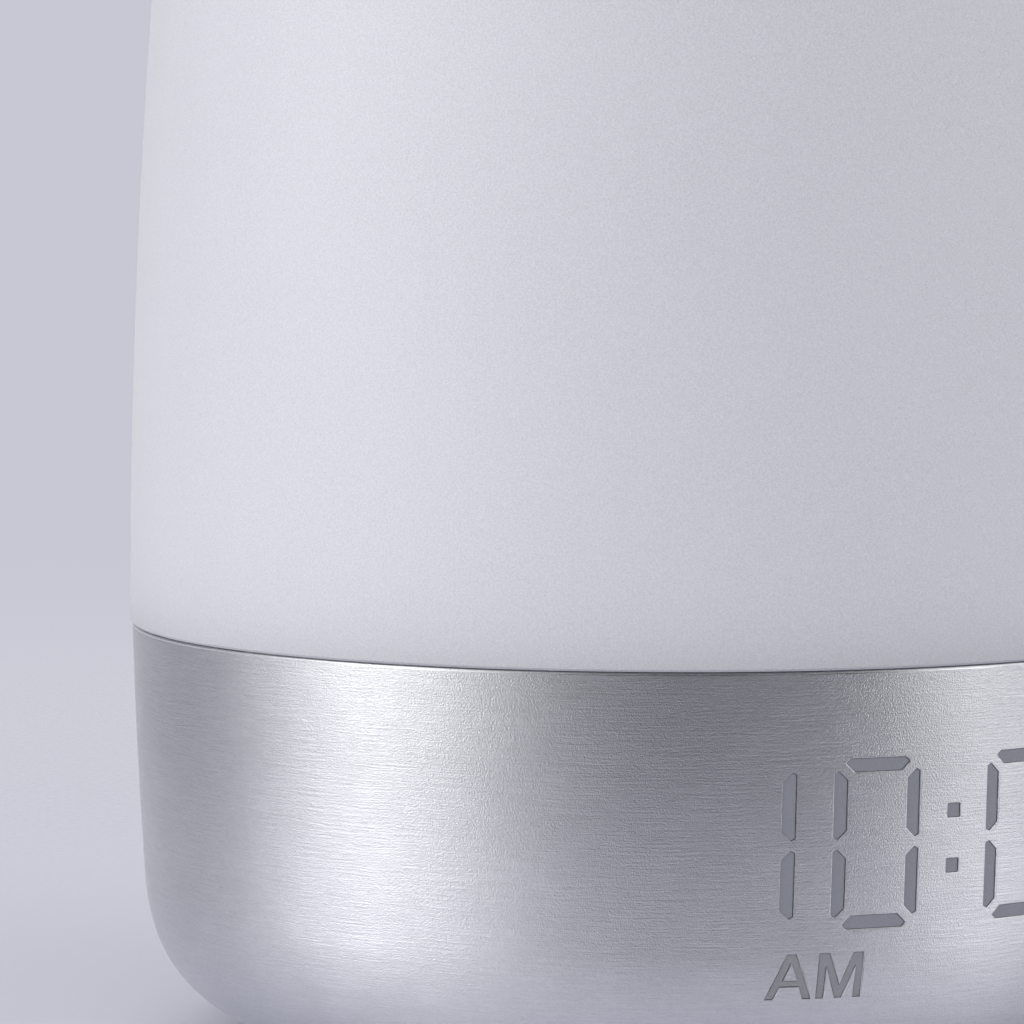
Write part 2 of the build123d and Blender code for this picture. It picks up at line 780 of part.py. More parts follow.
def key_switches():
    bodies = []
    for index in range(len(key_names)):
        x, half = key_x(index), switch_size / 2
        body = block(x - half, x + half, key_board_face, switch_face, key_z - half, key_z + half)
        body -= rod_y(plunger_radius + thin_gap, switch_face - key_travel - plunger_well,
                      switch_face + run_past, x, key_z)
        bodies.append(body)
    return group(bodies)


def plunger(index):
    return rod_y(plunger_radius, switch_face - plunger_root, switch_face + plunger_height,
                 key_x(index), key_z)


def key(index):
    """A key: cap through the wall, collar inside it and stem on its switch."""
    x = key_x(index)
    wall_line = radius_at(cup_line, key_z - key_collar_radius, cup_wall)
    reach = abs(x) + key_collar_radius
    collar_front = sqrt(wall_line * wall_line - reach * reach) - key_collar_gap
    collar_back = collar_front - key_collar_thickness
    cap = rod_y(key_radius, collar_front - thin_gap, outside, x, key_z)
    cap &= inside(cup_line, -key_proud, seam_z)
    collar = rod_y(key_collar_radius, collar_back, collar_front, x, key_z)
    stem = rod_y(key_stem_radius, switch_face + plunger_height, collar_back + thin_gap, x, key_z)
    return cap + collar + stem


def dc_jack():
    half, tall = jack_width / 2, jack_tall / 2
    front = radius_at(cup_line, jack_z - tall, cup_wall)
    front = sqrt(front * front - half * half) - jack_gap
    body = block(-half, half, key_board_face, front, jack_z - tall, jack_z + tall)
    bore_end = front - jack_bore_depth
    body -= rod_y(jack_bore_radius, bore_end, front + run_past, 0, jack_z)
    return body + rod_y(jack_pin_radius, bore_end - jack_bore_end, front - jack_pin_back, 0, jack_z)


# ---- Bottom cover and foot ----
def grille_places():
    """Holes on a triangular grid, kept inside the round grille."""
    rows = int(grille_radius / grille_pitch) + 1
    places = []
    for row in range(-rows, rows + 1):
        for column in range(-rows - 1, rows + 2):
            x = (column + (row % 2) / 2) * grille_pitch
            y = row * grille_pitch * sqrt(3) / 2
            if x * x + y * y <= grille_radius * grille_radius:
                places.append((x, speaker_y + y))
    return places


def speaker_clips():
    """Hooks on the cover that snap over the speaker's flange."""
    inner = speaker_radius + thin_gap * 2
    lip_z = speaker_low_z + speaker_flange + thin_gap
    top = lip_z + clip_lip
    profile = [(inner, cup_lift - sink), (inner, lip_z), (inner - clip_lip, lip_z)]
    profile += [(inner - clip_lip, top), (inner + clip_thickness, top)]
    profile.append((inner + clip_thickness, cup_lift - sink))
    return [turned(profile, 0, speaker_y, clip_width, angle - clip_width / 2) for angle in post_angles]


def bottom_cover():
    cover = disc(cover_radius, cover_low_z, cup_lift)
    cover = chamfer(cover.edges().filter_by(GeomType.CIRCLE).sort_by(Axis.Z)[0], cover_edge)
    below, above = cover_low_z - run_past, cup_lift + run_past
    cover -= tube(foot_outer_radius, foot_inner_radius, below, cover_low_z + foot_seat)
    for x, y in post_places:
        cover -= disc(screw_radius + screw_clearance, below, above, x, y)
        cover -= disc(screw_head_radius + screw_clearance, below,
                      cover_low_z + screw_head_height + thin_gap, x, y)
    cover -= [disc(grille_hole_radius, below, above, x, y) for x, y in grille_places()]
    cover -= disc(door_radius + door_clearance, below, cover_low_z + door_flange, 0, door_y)
    cover -= disc(door_boss_radius + door_clearance, cover_low_z, above, 0, door_y)
    notch = door_lugs(below, above, 90, door_clearance)
    for lug in notch:
        cover -= lug
    return joined([cover] + speaker_clips())


def foot_ring():
    foot = tube(foot_outer_radius - thin_gap, foot_inner_radius + thin_gap, 0, cover_low_z + foot_seat)
    low = foot.edges().filter_by(GeomType.CIRCLE).group_by(Axis.Z)[0]
    return fillet(low, foot_round)


# ---- Speaker ----
def speaker_gasket():
    inner = speaker_radius - speaker_flange_width
    return tube(speaker_radius, inner, cup_lift, speaker_low_z, 0, speaker_y)


def speaker_frame():
    """Flange, open basket and front plate, turned in one piece of steel."""
    flange_top = speaker_low_z + speaker_flange
    inner, outer = speaker_radius - speaker_flange_width, speaker_radius
    back_r = coil_radius + coil_gap
    slant_r = speaker_magnet_radius - speaker_wall
    points = [(inner, speaker_low_z), (outer, speaker_low_z), (outer, flange_top)]
    points += [(inner + speaker_wall, flange_top), (slant_r, speaker_back_z)]
    points += [(slant_r, magnet_low_z), (back_r, magnet_low_z), (back_r, speaker_back_z)]
    points += [(slant_r - speaker_wall, speaker_back_z), (inner, flange_top)]
    frame = turned(points, 0, speaker_y)
    window_low, window_high = flange_top + basket_window_edge, speaker_back_z - basket_window_edge
    half = basket_window_width / 2
    for angle in post_angles:
        window = block(speaker_opening / 2, outer + run_past, -half, half, window_low, window_high)
        frame -= Pos(0, speaker_y, 0) * Rot(0, 0, angle) * window
    return frame


def speaker_magnet():
    inner = coil_radius + 2 * coil_gap
    return tube(speaker_magnet_radius, inner, magnet_low_z, magnet_top_z, 0, speaker_y)


def speaker_yoke():
    """Back plate with the pole that runs down inside the voice coil."""
    plate = disc(speaker_magnet_radius, magnet_top_z, magnet_top_z + speaker_plate, 0, speaker_y)
    pole_radius = coil_radius - coil_wall - coil_gap
    return plate + disc(pole_radius, speaker_back_z, magnet_top_z + sink, 0, speaker_y)


def speaker_cone():
    """Paper cone, dust cap and the tube of the voice coil."""
    edge_r = surround_inner() - surround_lap
    edge_z = speaker_low_z + speaker_flange - surround_sink
    neck_z = speaker_back_z - cone_neck_drop
    tube_top = speaker_back_z + coil_tube_height
    profile = [(edge_r, edge_z), (edge_r, edge_z + cone_thickness)]
    profile += [(coil_radius, neck_z + cone_thickness), (coil_radius, tube_top)]
    profile += [(coil_radius - coil_wall, tube_top), (coil_radius - coil_wall, neck_z)]
    ball = (coil_radius ** 2 + dust_cap_rise ** 2) / (2 * dust_cap_rise)
    centre = Pos(0, speaker_y, neck_z - dust_cap_rise + ball)
    cap = centre * Sphere(ball) - centre * Sphere(ball - cone_thickness)
    cap &= disc(coil_radius - coil_wall / 4, neck_z - 2 * dust_cap_rise, neck_z + sink, 0, speaker_y)
    return turned(profile, 0, speaker_y) + cap


def voice_coil():
    high = speaker_back_z + coil_tube_height - sink
    return tube(coil_radius + coil_thickness, coil_radius, high - coil_height, high, 0, speaker_y)


def surround_inner():
    return speaker_opening - (speaker_radius - speaker_flange_width - speaker_opening) / 2


def speaker_surround():
    """Rubber half roll between the cone's edge and the frame."""
    base = speaker_low_z + speaker_flange - surround_sink
    inner, outer = surround_inner(), speaker_radius - speaker_flange_width
    middle, reach = (inner + outer) / 2, (outer - inner) / 2
    roll = CenterArc((middle, base), reach, 180, 180)
    under = CenterArc((middle, base), reach - surround_thickness, 180, 180)
    sides = [Line(roll @ 0, under @ 0), Line(roll @ 1, under @ 1)]
    profile = Plane.XZ * make_face([roll, under] + sides)
    return Pos(0, speaker_y, 0) * revolve(profile, Axis.Z)


# ---- Backup cell and its door ----
door_boss_radius = cell_radius + 2 * thin_gap
boss_top_z = cup_lift + thin_gap + lug_height
cell_low_z = boss_top_z + thin_gap
holder_inner = door_boss_radius + lug_reach + cell_clearance
holder_roof_z = cell_low_z + cell_height + contact_height


def door_lugs(low, high, turn, grow=0.0):
    """The two ears of the door's boss, turned about the door's axis."""
    half = lug_half_angle + degrees(grow / door_boss_radius)
    points = [(door_boss_radius - 2 * sink, low), (door_boss_radius + lug_reach + grow, low)]
    points += [(points[1][0], high), (points[0][0], high)]
    return [turned(points, 0, door_y, 2 * half, turn + side - half) for side in (0, 180)]


def battery_door():
    """Round door with a coin slot; a quarter turn takes its ears over the cover's edge."""
    door = disc(door_radius, cover_low_z, cover_low_z + door_flange - thin_gap, 0, door_y)
    door += disc(door_boss_radius, cover_low_z, boss_top_z, 0, door_y)
    for lug in door_lugs(cup_lift + thin_gap, boss_top_z, 0):
        door += lug
    slot = block(-coin_slot_length / 2, coin_slot_length / 2, door_y - coin_slot_width / 2,
                 door_y + coin_slot_width / 2, cover_low_z - run_past, cover_low_z + coin_slot_depth)
    return door - slot


def battery_holder():
    outer = holder_inner + holder_wall
    holder = tube(outer, holder_inner, cup_lift, holder_roof_z + sink, 0, door_y)
    holder += disc(outer, holder_roof_z, holder_roof_z + holder_wall, 0, door_y)
    locating = tube(holder_inner + sink, cell_radius + cell_clearance / 2, boss_top_z + cell_clearance,
                    holder_roof_z + sink, 0, door_y)
    return holder + locating


def coin_cell():
    cell = disc(cell_radius, cell_low_z, cell_low_z + cell_height - cell_rim_round, 0, door_y)
    cell = fillet(cell.edges().filter_by(GeomType.CIRCLE).sort_by(Axis.Z)[0], cell_rim_round)
    return cell + disc(cell_radius - cell_rim_width, cell_low_z, cell_low_z + cell_height, 0, door_y)


def battery_contact():
    """Bent strip that presses the cell from the holder's roof."""
    low, high = cell_low_z + cell_height, holder_roof_z
    thick = contact_thickness
    end, bend, inner_bend = contact_half, contact_bend, contact_bend - thick
    points = [(-end, high), (-end, high - thick), (-bend, high - thick), (0, low)]
    points += [(bend, high - thick), (end, high - thick), (end, high), (inner_bend, high)]
    points += [(0, low + thick), (-inner_bend, high)]
    face = make_face(Polyline(*points, close=True))
    return Pos(0, door_y + contact_width / 2, 0) * extrude(Plane.XZ * face, contact_width)


# ---- Light column ----
def hexagon(flat, low, high):
    outline = RegularPolygon(flat / cosd(30), 6)
    return extrude(Plane.XY.offset(low) * outline, high - low)


def led_column():
    bore = disc(column_flat - column_wall, column_low_z - run_past, column_top_z + run_past)
    return hexagon(column_flat, column_low_z, column_top_z) - bore


def column_sides(solid):
    """Copies of a solid made on the front flat, on all six flats."""
    return [Rot(0, 0, 60 * index) * solid for index in range(6)]


def led_strips():
    low, high = column_low_z + strip_end_gap, column_top_z - strip_end_gap
    half = strip_width / 2
    strip = block(-half, half, -column_flat - strip_thickness, -column_flat, low, high)
    return group(column_sides(strip))


def led_packages():
    low, high = column_low_z + strip_end_gap, column_top_z - strip_end_gap
    step = (high - low) / led_rows
    face = -column_flat - strip_thickness
    packages = []
    for row in range(led_rows):
        middle = low + (row + 0.5) * step
        package = block(-led_width / 2, led_width / 2, face - led_height, face,
                        middle - led_length / 2, middle + led_length / 2)
        packages += column_sides(package)
    return group(packages)


def column_cap():
    """Cap on the column, with the round guide for the top button."""
    cap = disc(cap_radius, column_top_z, cap_top_z)
    cap += tube(guide_radius, guide_radius - guide_wall, cap_top_z - sink, guide_top_z)
    return cap - disc(cap_hole_radius, column_top_z - run_past, cap_top_z + run_past, column_flat / 2, 0)


def snooze_board():
    board = disc(guide_radius - guide_wall - guide_gap, cap_top_z, snooze_board_top)
    for y in (-lead_pitch / 2, lead_pitch / 2):
        board -= disc(lead_radius + thin_gap, cap_top_z - run_past, snooze_board_top + run_past,
                      column_flat / 2, y)
    return board


def snooze_switch():
    half = switch_size / 2
    body = block(-half, half, -half, half, snooze_board_top, snooze_switch_top)
    return body - disc(plunger_radius + thin_gap, snooze_switch_top - snooze_travel - plunger_well,
                       snooze_switch_top + run_past)


def snooze_plunger():
    return disc(plunger_radius, snooze_switch_top - plunger_root, snooze_plunger_top)


def snooze_button():
    """Crowned button that carries on the dome's curve, with a skirt around the guide."""
    above = crown_z + button_proud + run_past
    button = inside(dome_line, -button_proud, dome_z) & disc(button_radius, button_low_z, above)
    round_edges = [edge for edge in button.edges() if edge.length > 1.9 * pi * button_radius]
    button = fillet(ShapeList(round_edges).sort_by(Axis.Z)[-1], button_edge_round)
    hollow = disc(button_radius - button_wall, button_low_z - run_past, above)
    button -= inside(dome_line, button_wall - button_proud, dome_z) & hollow
    skirt_inner = guide_radius + button_skirt_gap
    ceiling = crown_z + button_proud - button_wall + sink
    skirt = tube(skirt_inner + button_skirt_wall, skirt_inner, guide_top_z - button_skirt_lap, ceiling)
    stem = disc(button_stem_radius, snooze_plunger_top, ceiling)
    inner_space = inside(dome_line, button_wall / 2 - button_proud, dome_z)
    return button + (skirt & inner_space) + (stem & inner_space)


# ---- Leads inside the housing ----
guide_top_z = button_low_z - guide_top_gap
ribbon_socket_y = ribbon_run - display_board_back
speaker_lead_x = speaker_radius + speaker_lead_run


def lead(points, radius=lead_radius):
    """A round lead along straight runs joined by tangent arcs as large as the runs allow."""
    corners = [Vector(*point) for point in points]
    radii = []
    for before, corner, after in zip(corners, corners[1:], corners[2:]):
        run = min((corner - before).length, (after - corner).length)
        turn = radians((corner - before).get_angle(after - corner))
        radii.append(0.45 * run / (sin(turn / 2) / cos(turn / 2)))
    path = FilletPolyline(*corners, radius=radii)
    start = Plane(origin=path @ 0, z_dir=path % 0)
    return sweep(start * Circle(radius), path=path)


def display_ribbon():
    """Flat cable from the display board's back to its socket on the main board."""
    half = ribbon_width / 2
    back = -display_board_back
    top = board_top_z + socket_height + ribbon_rise
    across = block(ribbon_x - half, ribbon_x + half, back, ribbon_socket_y + ribbon_thickness / 2,
                   top - ribbon_thickness, top)
    down = block(ribbon_x - half, ribbon_x + half, ribbon_socket_y - ribbon_thickness / 2,
                 ribbon_socket_y + ribbon_thickness / 2, board_top_z + lead_root, top)
    return across + down


def column_leads():
    """Two leads from the main board up through the column to the switch board."""
    leads = []
    bend_z = (board_top_z + deck_low_z) / 2 + lead_radius
    for y in (-lead_pitch / 2, lead_pitch / 2):
        route = [(lead_socket_x, y, board_top_z + lead_root), (lead_socket_x, y, bend_z)]
        route += [(column_flat / 2, y, bend_z), (column_flat / 2, y, snooze_board_top)]
        leads.append(lead(route))
    return group(leads)


def speaker_leads():
    """Two leads from the speaker's frame up to the underside of the main board."""
    leads = []
    low = speaker_low_z + speaker_flange + lead_radius + lead_root
    start_x = speaker_radius - speaker_tab_inset
    for side in (-1, 1):
        y = speaker_y + side * lead_pitch / 2
        route = [(start_x, y, low), (speaker_lead_x, y, low), (speaker_lead_x, y, main_board_z)]
        leads.append(lead(route))
    return group(leads)


# ---- Every piece, by the name of its node ----
pieces = {
    "metal_cup": metal_cup,
    "diffuser_dome": diffuser_dome,
    "letter_insert": letter_insert,
    "seam_gasket": seam_gasket,
    "display_lens": display_lens,
    "display_mask": display_mask,
    "display_leds": display_leds,
    "display_board": display_board,
    "inner_chassis": inner_chassis,
    "light_deck": light_deck,
    "cover_screws": cover_screws,
    "deck_screws": deck_screws,
    "main_board": main_board,
    "board_chips": board_chips,
    "board_capacitors": board_capacitors,
    "board_sockets": board_sockets,
    "key_board": key_board,
    "key_header": key_header,
    "key_switches": key_switches,
    "dc_jack": dc_jack,
    "bottom_cover": bottom_cover,
    "foot_ring": foot_ring,
    "speaker_gasket": speaker_gasket,
    "speaker_frame": speaker_frame,
    "speaker_magnet": speaker_magnet,
    "speaker_yoke": speaker_yoke,
    "speaker_cone": speaker_cone,
    "voice_coil": voice_coil,
    "speaker_surround": speaker_surround,
    "battery_door": battery_door,
    "battery_holder": battery_holder,
    "coin_cell": coin_cell,
    "battery_contact": battery_contact,
    "led_column": led_column,
    "led_strips": led_strips,
    "led_packages": led_packages,
    "column_cap": column_cap,
    "snooze_board": snooze_board,
    "snooze_switch": snooze_switch,
    "snooze_plunger": snooze_plunger,
    "snooze_button": snooze_button,
    "display_ribbon": display_ribbon,
    "column_leads": column_leads,
    "speaker_leads": speaker_leads,
}
for index, name in enumerate(key_names):
    pieces["key_" + name] = lambda index=index: key(index)
    pieces["plunger_" + name] = lambda index=index: plunger(index)

os.makedirs("parts", exist_ok=True)
for node, make in pieces.items():
    export_step(make(), os.path.join("parts", node + ".step"))
    print(node)
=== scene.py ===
import json
from math import acos, asin, atan2, ceil, cos, degrees, hypot, inf, pi, radians, sin, sqrt

import bmesh
import bpy
import numpy as np
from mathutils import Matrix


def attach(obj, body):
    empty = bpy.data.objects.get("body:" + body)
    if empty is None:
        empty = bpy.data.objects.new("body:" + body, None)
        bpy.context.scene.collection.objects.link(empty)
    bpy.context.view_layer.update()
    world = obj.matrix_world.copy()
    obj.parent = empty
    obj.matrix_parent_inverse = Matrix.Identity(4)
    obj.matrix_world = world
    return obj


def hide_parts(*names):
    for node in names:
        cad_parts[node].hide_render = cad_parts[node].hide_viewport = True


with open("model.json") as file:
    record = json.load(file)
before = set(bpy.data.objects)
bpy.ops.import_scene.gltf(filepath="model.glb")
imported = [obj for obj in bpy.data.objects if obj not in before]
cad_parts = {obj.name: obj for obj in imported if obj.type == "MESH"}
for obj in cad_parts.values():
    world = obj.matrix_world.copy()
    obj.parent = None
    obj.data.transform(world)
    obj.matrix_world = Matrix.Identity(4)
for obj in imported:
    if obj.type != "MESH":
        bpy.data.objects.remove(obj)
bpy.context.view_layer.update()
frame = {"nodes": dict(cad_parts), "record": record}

# A sunrise alarm clock: a frosted dome on a brushed metal cup, with the time cut through the
# cup. The cup, the dome and the ring in their seam are made here, as finer meshes of the CAD
# part's curves. Every other piece is the CAD mesh with a finish.
#
# Everything below is in millimetres until a mesh is made, in the frame of the part:
# +Z up, the display faces -Y, the origin is the centre of the rest plane.
MM = 0.001

# ---- The cup, as in the CAD part ----
cup_lift = 3.0
cup_height = 44.0
cup_rim_radius = 59.75
cup_wall = 1.3
cup_rim_lean = 1.26         # degrees, where the side starts
cup_side_lean = 3.82        # where the side gives way to the lead-in of the corner
cup_lead_lean = 17.26
cup_lead_radius = 23.1
cup_corner_radius = 14.9
cup_hole_radius = 40.0
cup_hole_chamfer = 0.15
lip_height = 0.25           # lip that nearly closes the seam
lip_width = 0.5
lip_round = 0.2
lip_band = 0.04             # polished band under the lip
seam_height = 0.35
seam_z = cup_lift + cup_height
dome_z = seam_z + seam_height

# ---- The dome ----
dome_radius = 60.0
dome_wall = 2.4
dome_seam_lean = 0.2
dome_side_radius = 930.0
dome_side_height = 92.0
dome_shoulder_radius = 40.0
dome_crown_radius = 150.0
dome_edge_chamfer = 0.25
collar_depth = 4.6
collar_wall = 2.0
collar_clearance = 0.2
button_hole_radius = 15.35
hole_edge_round = 0.35
hole_edge_start = 85.0      # degrees: the slope of the crown there, near enough
hole_foot_drop = 0.05       # how far the hole's wall goes on under the dome's inner face

# ---- The ring in the seam ----
gasket_inset = 0.1          # from the cup's inner face
gasket_gap = 0.02           # to the lip and to the dome
gasket_lift = 0.01          # over the cup's edge
gasket_chamfer = 0.08

# ---- The display's windows ----
digit_height = 17.35
digit_width = 9.2
digit_places = (-21.54, -8.6, 8.6, 21.54)
digit_top_drop = 8.58
segment_width = 1.4
segment_tip = 0.45
segment_bevel = 0.94
segment_outer_bevel = 0.25
segment_round = 0.15
upright_inset = 1.22
upright_half_gap = 0.47
bar_inset = 1.13
colon_size = 1.5
colon_drops = (13.6, 19.24)
shown = ("bc", "abcdef", "abcdef", "abcdef")    # the lit segments of 10:00

letter_height = 4.68
letter_width = 4.6
letter_stroke = 0.78
letter_drop = 28.29
letter_a_centre = -16.9
letter_a_flat = 0.6         # half the flat top of the A, in strokes
letter_a_bar = 0.28         # underside of its bar, as a share of the height
letter_m_centre = -11.83
letter_m_shoulder = 1.4     # width of the M's shoulders, in strokes
letter_m_point = 0.45       # half the foot of its middle, in strokes
letter_m_notch = 0.3        # top of the notches beside its legs, down by this share
letter_m_dip = 0.7          # foot of the dip between its shoulders, down by this share

rim_line = 0.08             # painted shade: a dark hairline around each window
rim_depth = 0.04
halo_width = 0.12           # painted highlight: paler band beyond it, flush but for the depth
halo_depth = 0.012
window_reach = 12.0         # window cutters, from the wall's outer face inwards
front, back = -1, 1         # sides of the cup

# ---- Keys and inlet at the back ----
key_places = (-22.0, -11.0, 0.0, 11.0, 22.0)
key_z = 30.0
key_hole_radius = 3.55
jack_z = 18.5
jack_hole_radius = 4.2
hole_bevel_width = 0.12
hole_bevel_depth = 0.1

# ---- Brush marks on the metal ----
scratch_size = (0.7, 0.15)  # length around the axis, and width
groove_size = (5.0, 0.19)
swell_size = (9.0, 0.8)     # slow change of the roughness
groove_shift = 17.0         # so that one kind of mark doesn't follow another
swell_shift = 31.0
mark_sharpness = 0.6
brush_grain = 7.0           # per mm
drift_scale = 0.16          # per mm: where the grooves fade, and how the marks waver
drift_waver = 0.5
faded_groove = 0.65         # what is left of a groove where they fade most
scratch_depth = 0.012
groove_depth = 0.036
grain_depth = 0.048
mark_tone = 0.4             # shares of the marks and the grain in the tone
grain_tone = 0.35
tone_change = 0.08
swell_change = 0.06
painted_corner_light = 1.12          # painted light: the cup's colour is a little paler towards its corner, from the first height down to the second
painted_light_heights = (37.0, 25.0)       # from the first height down to the second

# ---- Frosting of the dome ----
frost_grain = 6.5           # per mm
frost_cloud = 0.05          # per mm
frost_dark = (0.905, 0.925)         # dark grains as shares of the colour, by the cloud
frost_light = 1.085
frost_roughness = (0.46, 0.56)
frost_depth = 0.012
frost_scatter = (4.0, 4.0, 4.5)     # how far red, green and blue light spread inside
painted_foot_shade = 0.22           # painted shade: how much darker the dome is right over the seam
painted_shade_fade = 4.0

# ---- The lens ----
letters_below = 20.0        # height between the digits and the letters
letters_blend = 0.2
lens_grain = 5.0            # per mm
lens_depth = 0.003
lens_mottle = 0.12          # how much darker the darkest grains are
lens_roughness = (0.45, 0.55)

# ---- Marks of the other finishes ----
tool_lines = 2.5            # per mm, on the polished edges
tool_depth = 0.001
tool_tone = 0.96
tool_change = (0.8, 1.2)    # of the roughness
wear_scale = 3.0            # per mm, on plain metals
wear_depth = 0.003
wear_tone = 0.9
wear_change = (0.8, 1.25)
moulded_cloud = 0.07        # per mm
moulded_change = 0.05
board_cells = 0.4           # fields between the tracks, per mm
board_tracks = (0.03, 0.06)         # from a track's flat top to its foot, in fields
board_cover = 0.6           # how much of the track's colour shows through the mask
board_weave = 2.2           # per mm
board_change = 0.1
board_depth = 0.02

# ---- How finely the pieces are meshed ----
around = 720                # steps around the axis, for the cup
around_dome = 480           # fewer, which keeps the whole shell light enough to export
around_gasket = 360
around_hole = 96
around_floor = 96
long_step = 1.6             # along the long slow curves
turn_step = 3.0             # degrees, along the tight ones
lip_steps = 8
corner_steps = 6
window_steps = 5
curve_start = 0.5           # a curve's points keep this far from the corner before it
sharp_edge = 30.0           # degrees: edges from here on stay sharp
tiny = 1e-6


def sind(angle):
    """Sine of an angle in degrees."""
    return sin(radians(angle))


def cosd(angle):
    """Cosine of an angle in degrees."""
    return cos(radians(angle))


# ---- Outlines: arcs that run on from each other ----
def tangent_arcs(r, z, angle, turns):
    """Arcs (centre r, centre z, radius, from, to) by the angle of the outward normal."""
    arcs = []
    for radius, end in turns:
        centre = (r - radius * cosd(angle), z - radius * sind(angle))
        arcs.append((*centre, radius, angle, end))
        r, z = centre[0] + radius * cosd(end), centre[1] + radius * sind(end)
        angle = end
    return arcs


def cup_arcs():
    """The cup's outer face: its side, the lead-in of the corner and the corner."""
    corner_drop = cup_corner_radius * (1 - sind(cup_lead_lean))
    lead_drop = cup_lead_radius * (sind(cup_lead_lean) - sind(cup_side_lean))
    side_drop = cup_height - corner_drop - lead_drop
    side_radius = side_drop / (sind(cup_side_lean) - sind(cup_rim_lean))
    turns = [(side_radius, -cup_side_lean), (cup_lead_radius, -cup_lead_lean),
             (cup_corner_radius, -90)]
    return tangent_arcs(cup_rim_radius, seam_z, -cup_rim_lean, turns)


def dome_arcs():
    """The dome's outer face: its side, the shoulder and the crown."""
    side_end = degrees(asin(sind(dome_seam_lean) + dome_side_height / dome_side_radius))
    side_turn = (dome_side_radius, side_end)
    side = tangent_arcs(dome_radius, dome_z, dome_seam_lean, [side_turn])[0]
    shoulder_r = side[0] + (dome_side_radius - dome_shoulder_radius) * cosd(side_end)
    crown_start = degrees(acos(shoulder_r / (dome_crown_radius - dome_shoulder_radius)))
    turns = [side_turn, (dome_shoulder_radius, crown_start), (dome_crown_radius, 90)]
    return tangent_arcs(dome_radius, dome_z, dome_seam_lean, turns)


cup_line = cup_arcs()
dome_line = dome_arcs()


def radius_at(arcs, z, inset=0.0):
    """How far from the axis the face, moved in by inset, lies at a height."""
    for centre_r, centre_z, radius, start, end in arcs:
        lean = (z - centre_z) / (radius - inset)
        if abs(lean) > 1:
            continue
        if min(start, end) - tiny <= degrees(asin(lean)) <= max(start, end) + tiny:
            return centre_r + (radius - inset) * sqrt(1 - lean * lean)
    return arcs[0][0] + arcs[0][2] - inset


def along(arcs, inset=0.0, low_z=-inf, high_z=inf, least_r=0.0):
    """Points (r, z) along the arcs, moved in by inset, within the given limits."""
    points = []
    for centre_r, centre_z, radius, start, end in arcs:
        length = radians(abs(end - start)) * radius
        steps = max(2, ceil(length / long_step), ceil(abs(end - start) / turn_step))
        for index in range(steps + 1):
            angle = start + (end - start) * index / steps
            r = centre_r + (radius - inset) * cosd(angle)
            z = centre_z + (radius - inset) * sind(angle)
            if points and hypot(r - points[-1][0], z - points[-1][1]) < tiny:
                continue
            points.append((r, z))
    return [(r, z) for r, z in points if low_z < z < high_z and r > least_r]


def corner_arc(centre, radius, start, end, steps=corner_steps):
    """Points (r, z) of a small arc, from one angle to another."""
    turn = [start + (end - start) * index / steps for index in range(steps + 1)]
    return [(centre[0] + radius * cosd(angle), centre[1] + radius * sind(angle)) for angle in turn]


# ---- Meshes ----
def make_object(name, verts, faces):
    """A new object with a mesh of points in millimetres."""
    mesh = bpy.data.meshes.new(name)
    mesh.from_pydata((np.asarray(verts) * MM).tolist(), [], faces)
    mesh.validate()
    piece = bpy.data.objects.new(name, mesh)
    bpy.context.scene.collection.objects.link(piece)
    return piece


def outward(piece):
    """Turns all faces of a closed mesh to look out."""
    work = bmesh.new()
    work.from_mesh(piece.data)
    bmesh.ops.recalc_face_normals(work, faces=work.faces)
    work.to_mesh(piece.data)
    work.free()


def turned(name, profile, steps=around):
    """A closed profile of (r, z) points, turned about the axis."""
    turn = np.arange(steps) * 2 * pi / steps
    r, z = np.array(profile).T
    verts = np.stack([np.outer(r, np.sin(turn)), -np.outer(r, np.cos(turn)),
                      np.outer(z, np.ones(steps))], axis=-1).reshape(-1, 3)
    faces = []
    count = len(profile)
    for row in range(count):
        after = (row + 1) % count
        for step in range(steps):
            beside = (step + 1) % steps
            faces.append((row * steps + step, row * steps + beside,
                          after * steps + beside, after * steps + step))
    piece = make_object(name, verts, faces)
    outward(piece)
    return piece


def smooth(piece):
    """Smooth shading, broken at the sharp edges."""
    mesh = piece.data
    mesh.polygons.foreach_set("use_smooth", [True] * len(mesh.polygons))
    mesh.set_sharp_from_angle(angle=radians(sharp_edge))


def cut(piece, cutter):
    """Takes the cutter away from the piece and deletes it."""
    change = piece.modifiers.new("cut", "BOOLEAN")
    change.operation = "DIFFERENCE"
    change.solver = "EXACT"
    change.object = cutter
    bpy.context.view_layer.update()
    graph = bpy.context.evaluated_depsgraph_get()
    result = bpy.data.meshes.new_from_object(piece.evaluated_get(graph))
    piece.modifiers.clear()
    old = piece.data
    piece.data = result
    bpy.data.meshes.remove(old)
    bpy.data.objects.remove(cutter)


def gathered(items, name, width=1, kind=float):
    """A property of all the items of a mesh, with a row for each item where it is a vector."""
    values = np.zeros(len(items) * width, kind)
    items.foreach_get(name, values)
    return values.reshape(-1, width) if width > 1 else values


# ---- The windows, drawn flat as seen from the front ----
def rounded(points):
    """The outline with its corners rounded; points run anticlockwise."""
    radius = segment_round
    outline = []
    count = len(points)
    for index, corner in enumerate(points):
        before = np.array(points[index - 1]) - corner
        after = np.array(points[(index + 1) % count]) - corner
        before, after = before / np.linalg.norm(before), after / np.linalg.norm(after)
        half = acos(np.clip(before @ after, -1, 1)) / 2
        reach = radius / sin(half)
        centre = np.array(corner) + (before + after) / np.linalg.norm(before + after) * reach
        first = np.array(corner) + before * radius / np.tan(half) - centre
        last = np.array(corner) + after * radius / np.tan(half) - centre
        for step in range(window_steps + 1):
            share = step / window_steps
            way = first * (1 - share) + last * share
            outline.append(tuple(centre + way / np.linalg.norm(way) * radius))
    return outline


def anticlockwise(points):
    """The outline, turned round if it runs clockwise."""
    area = sum(a[0] * b[1] - b[0] * a[1] for a, b in zip(points, points[1:] + points[:1]))
    return points if area > 0 else points[::-1]


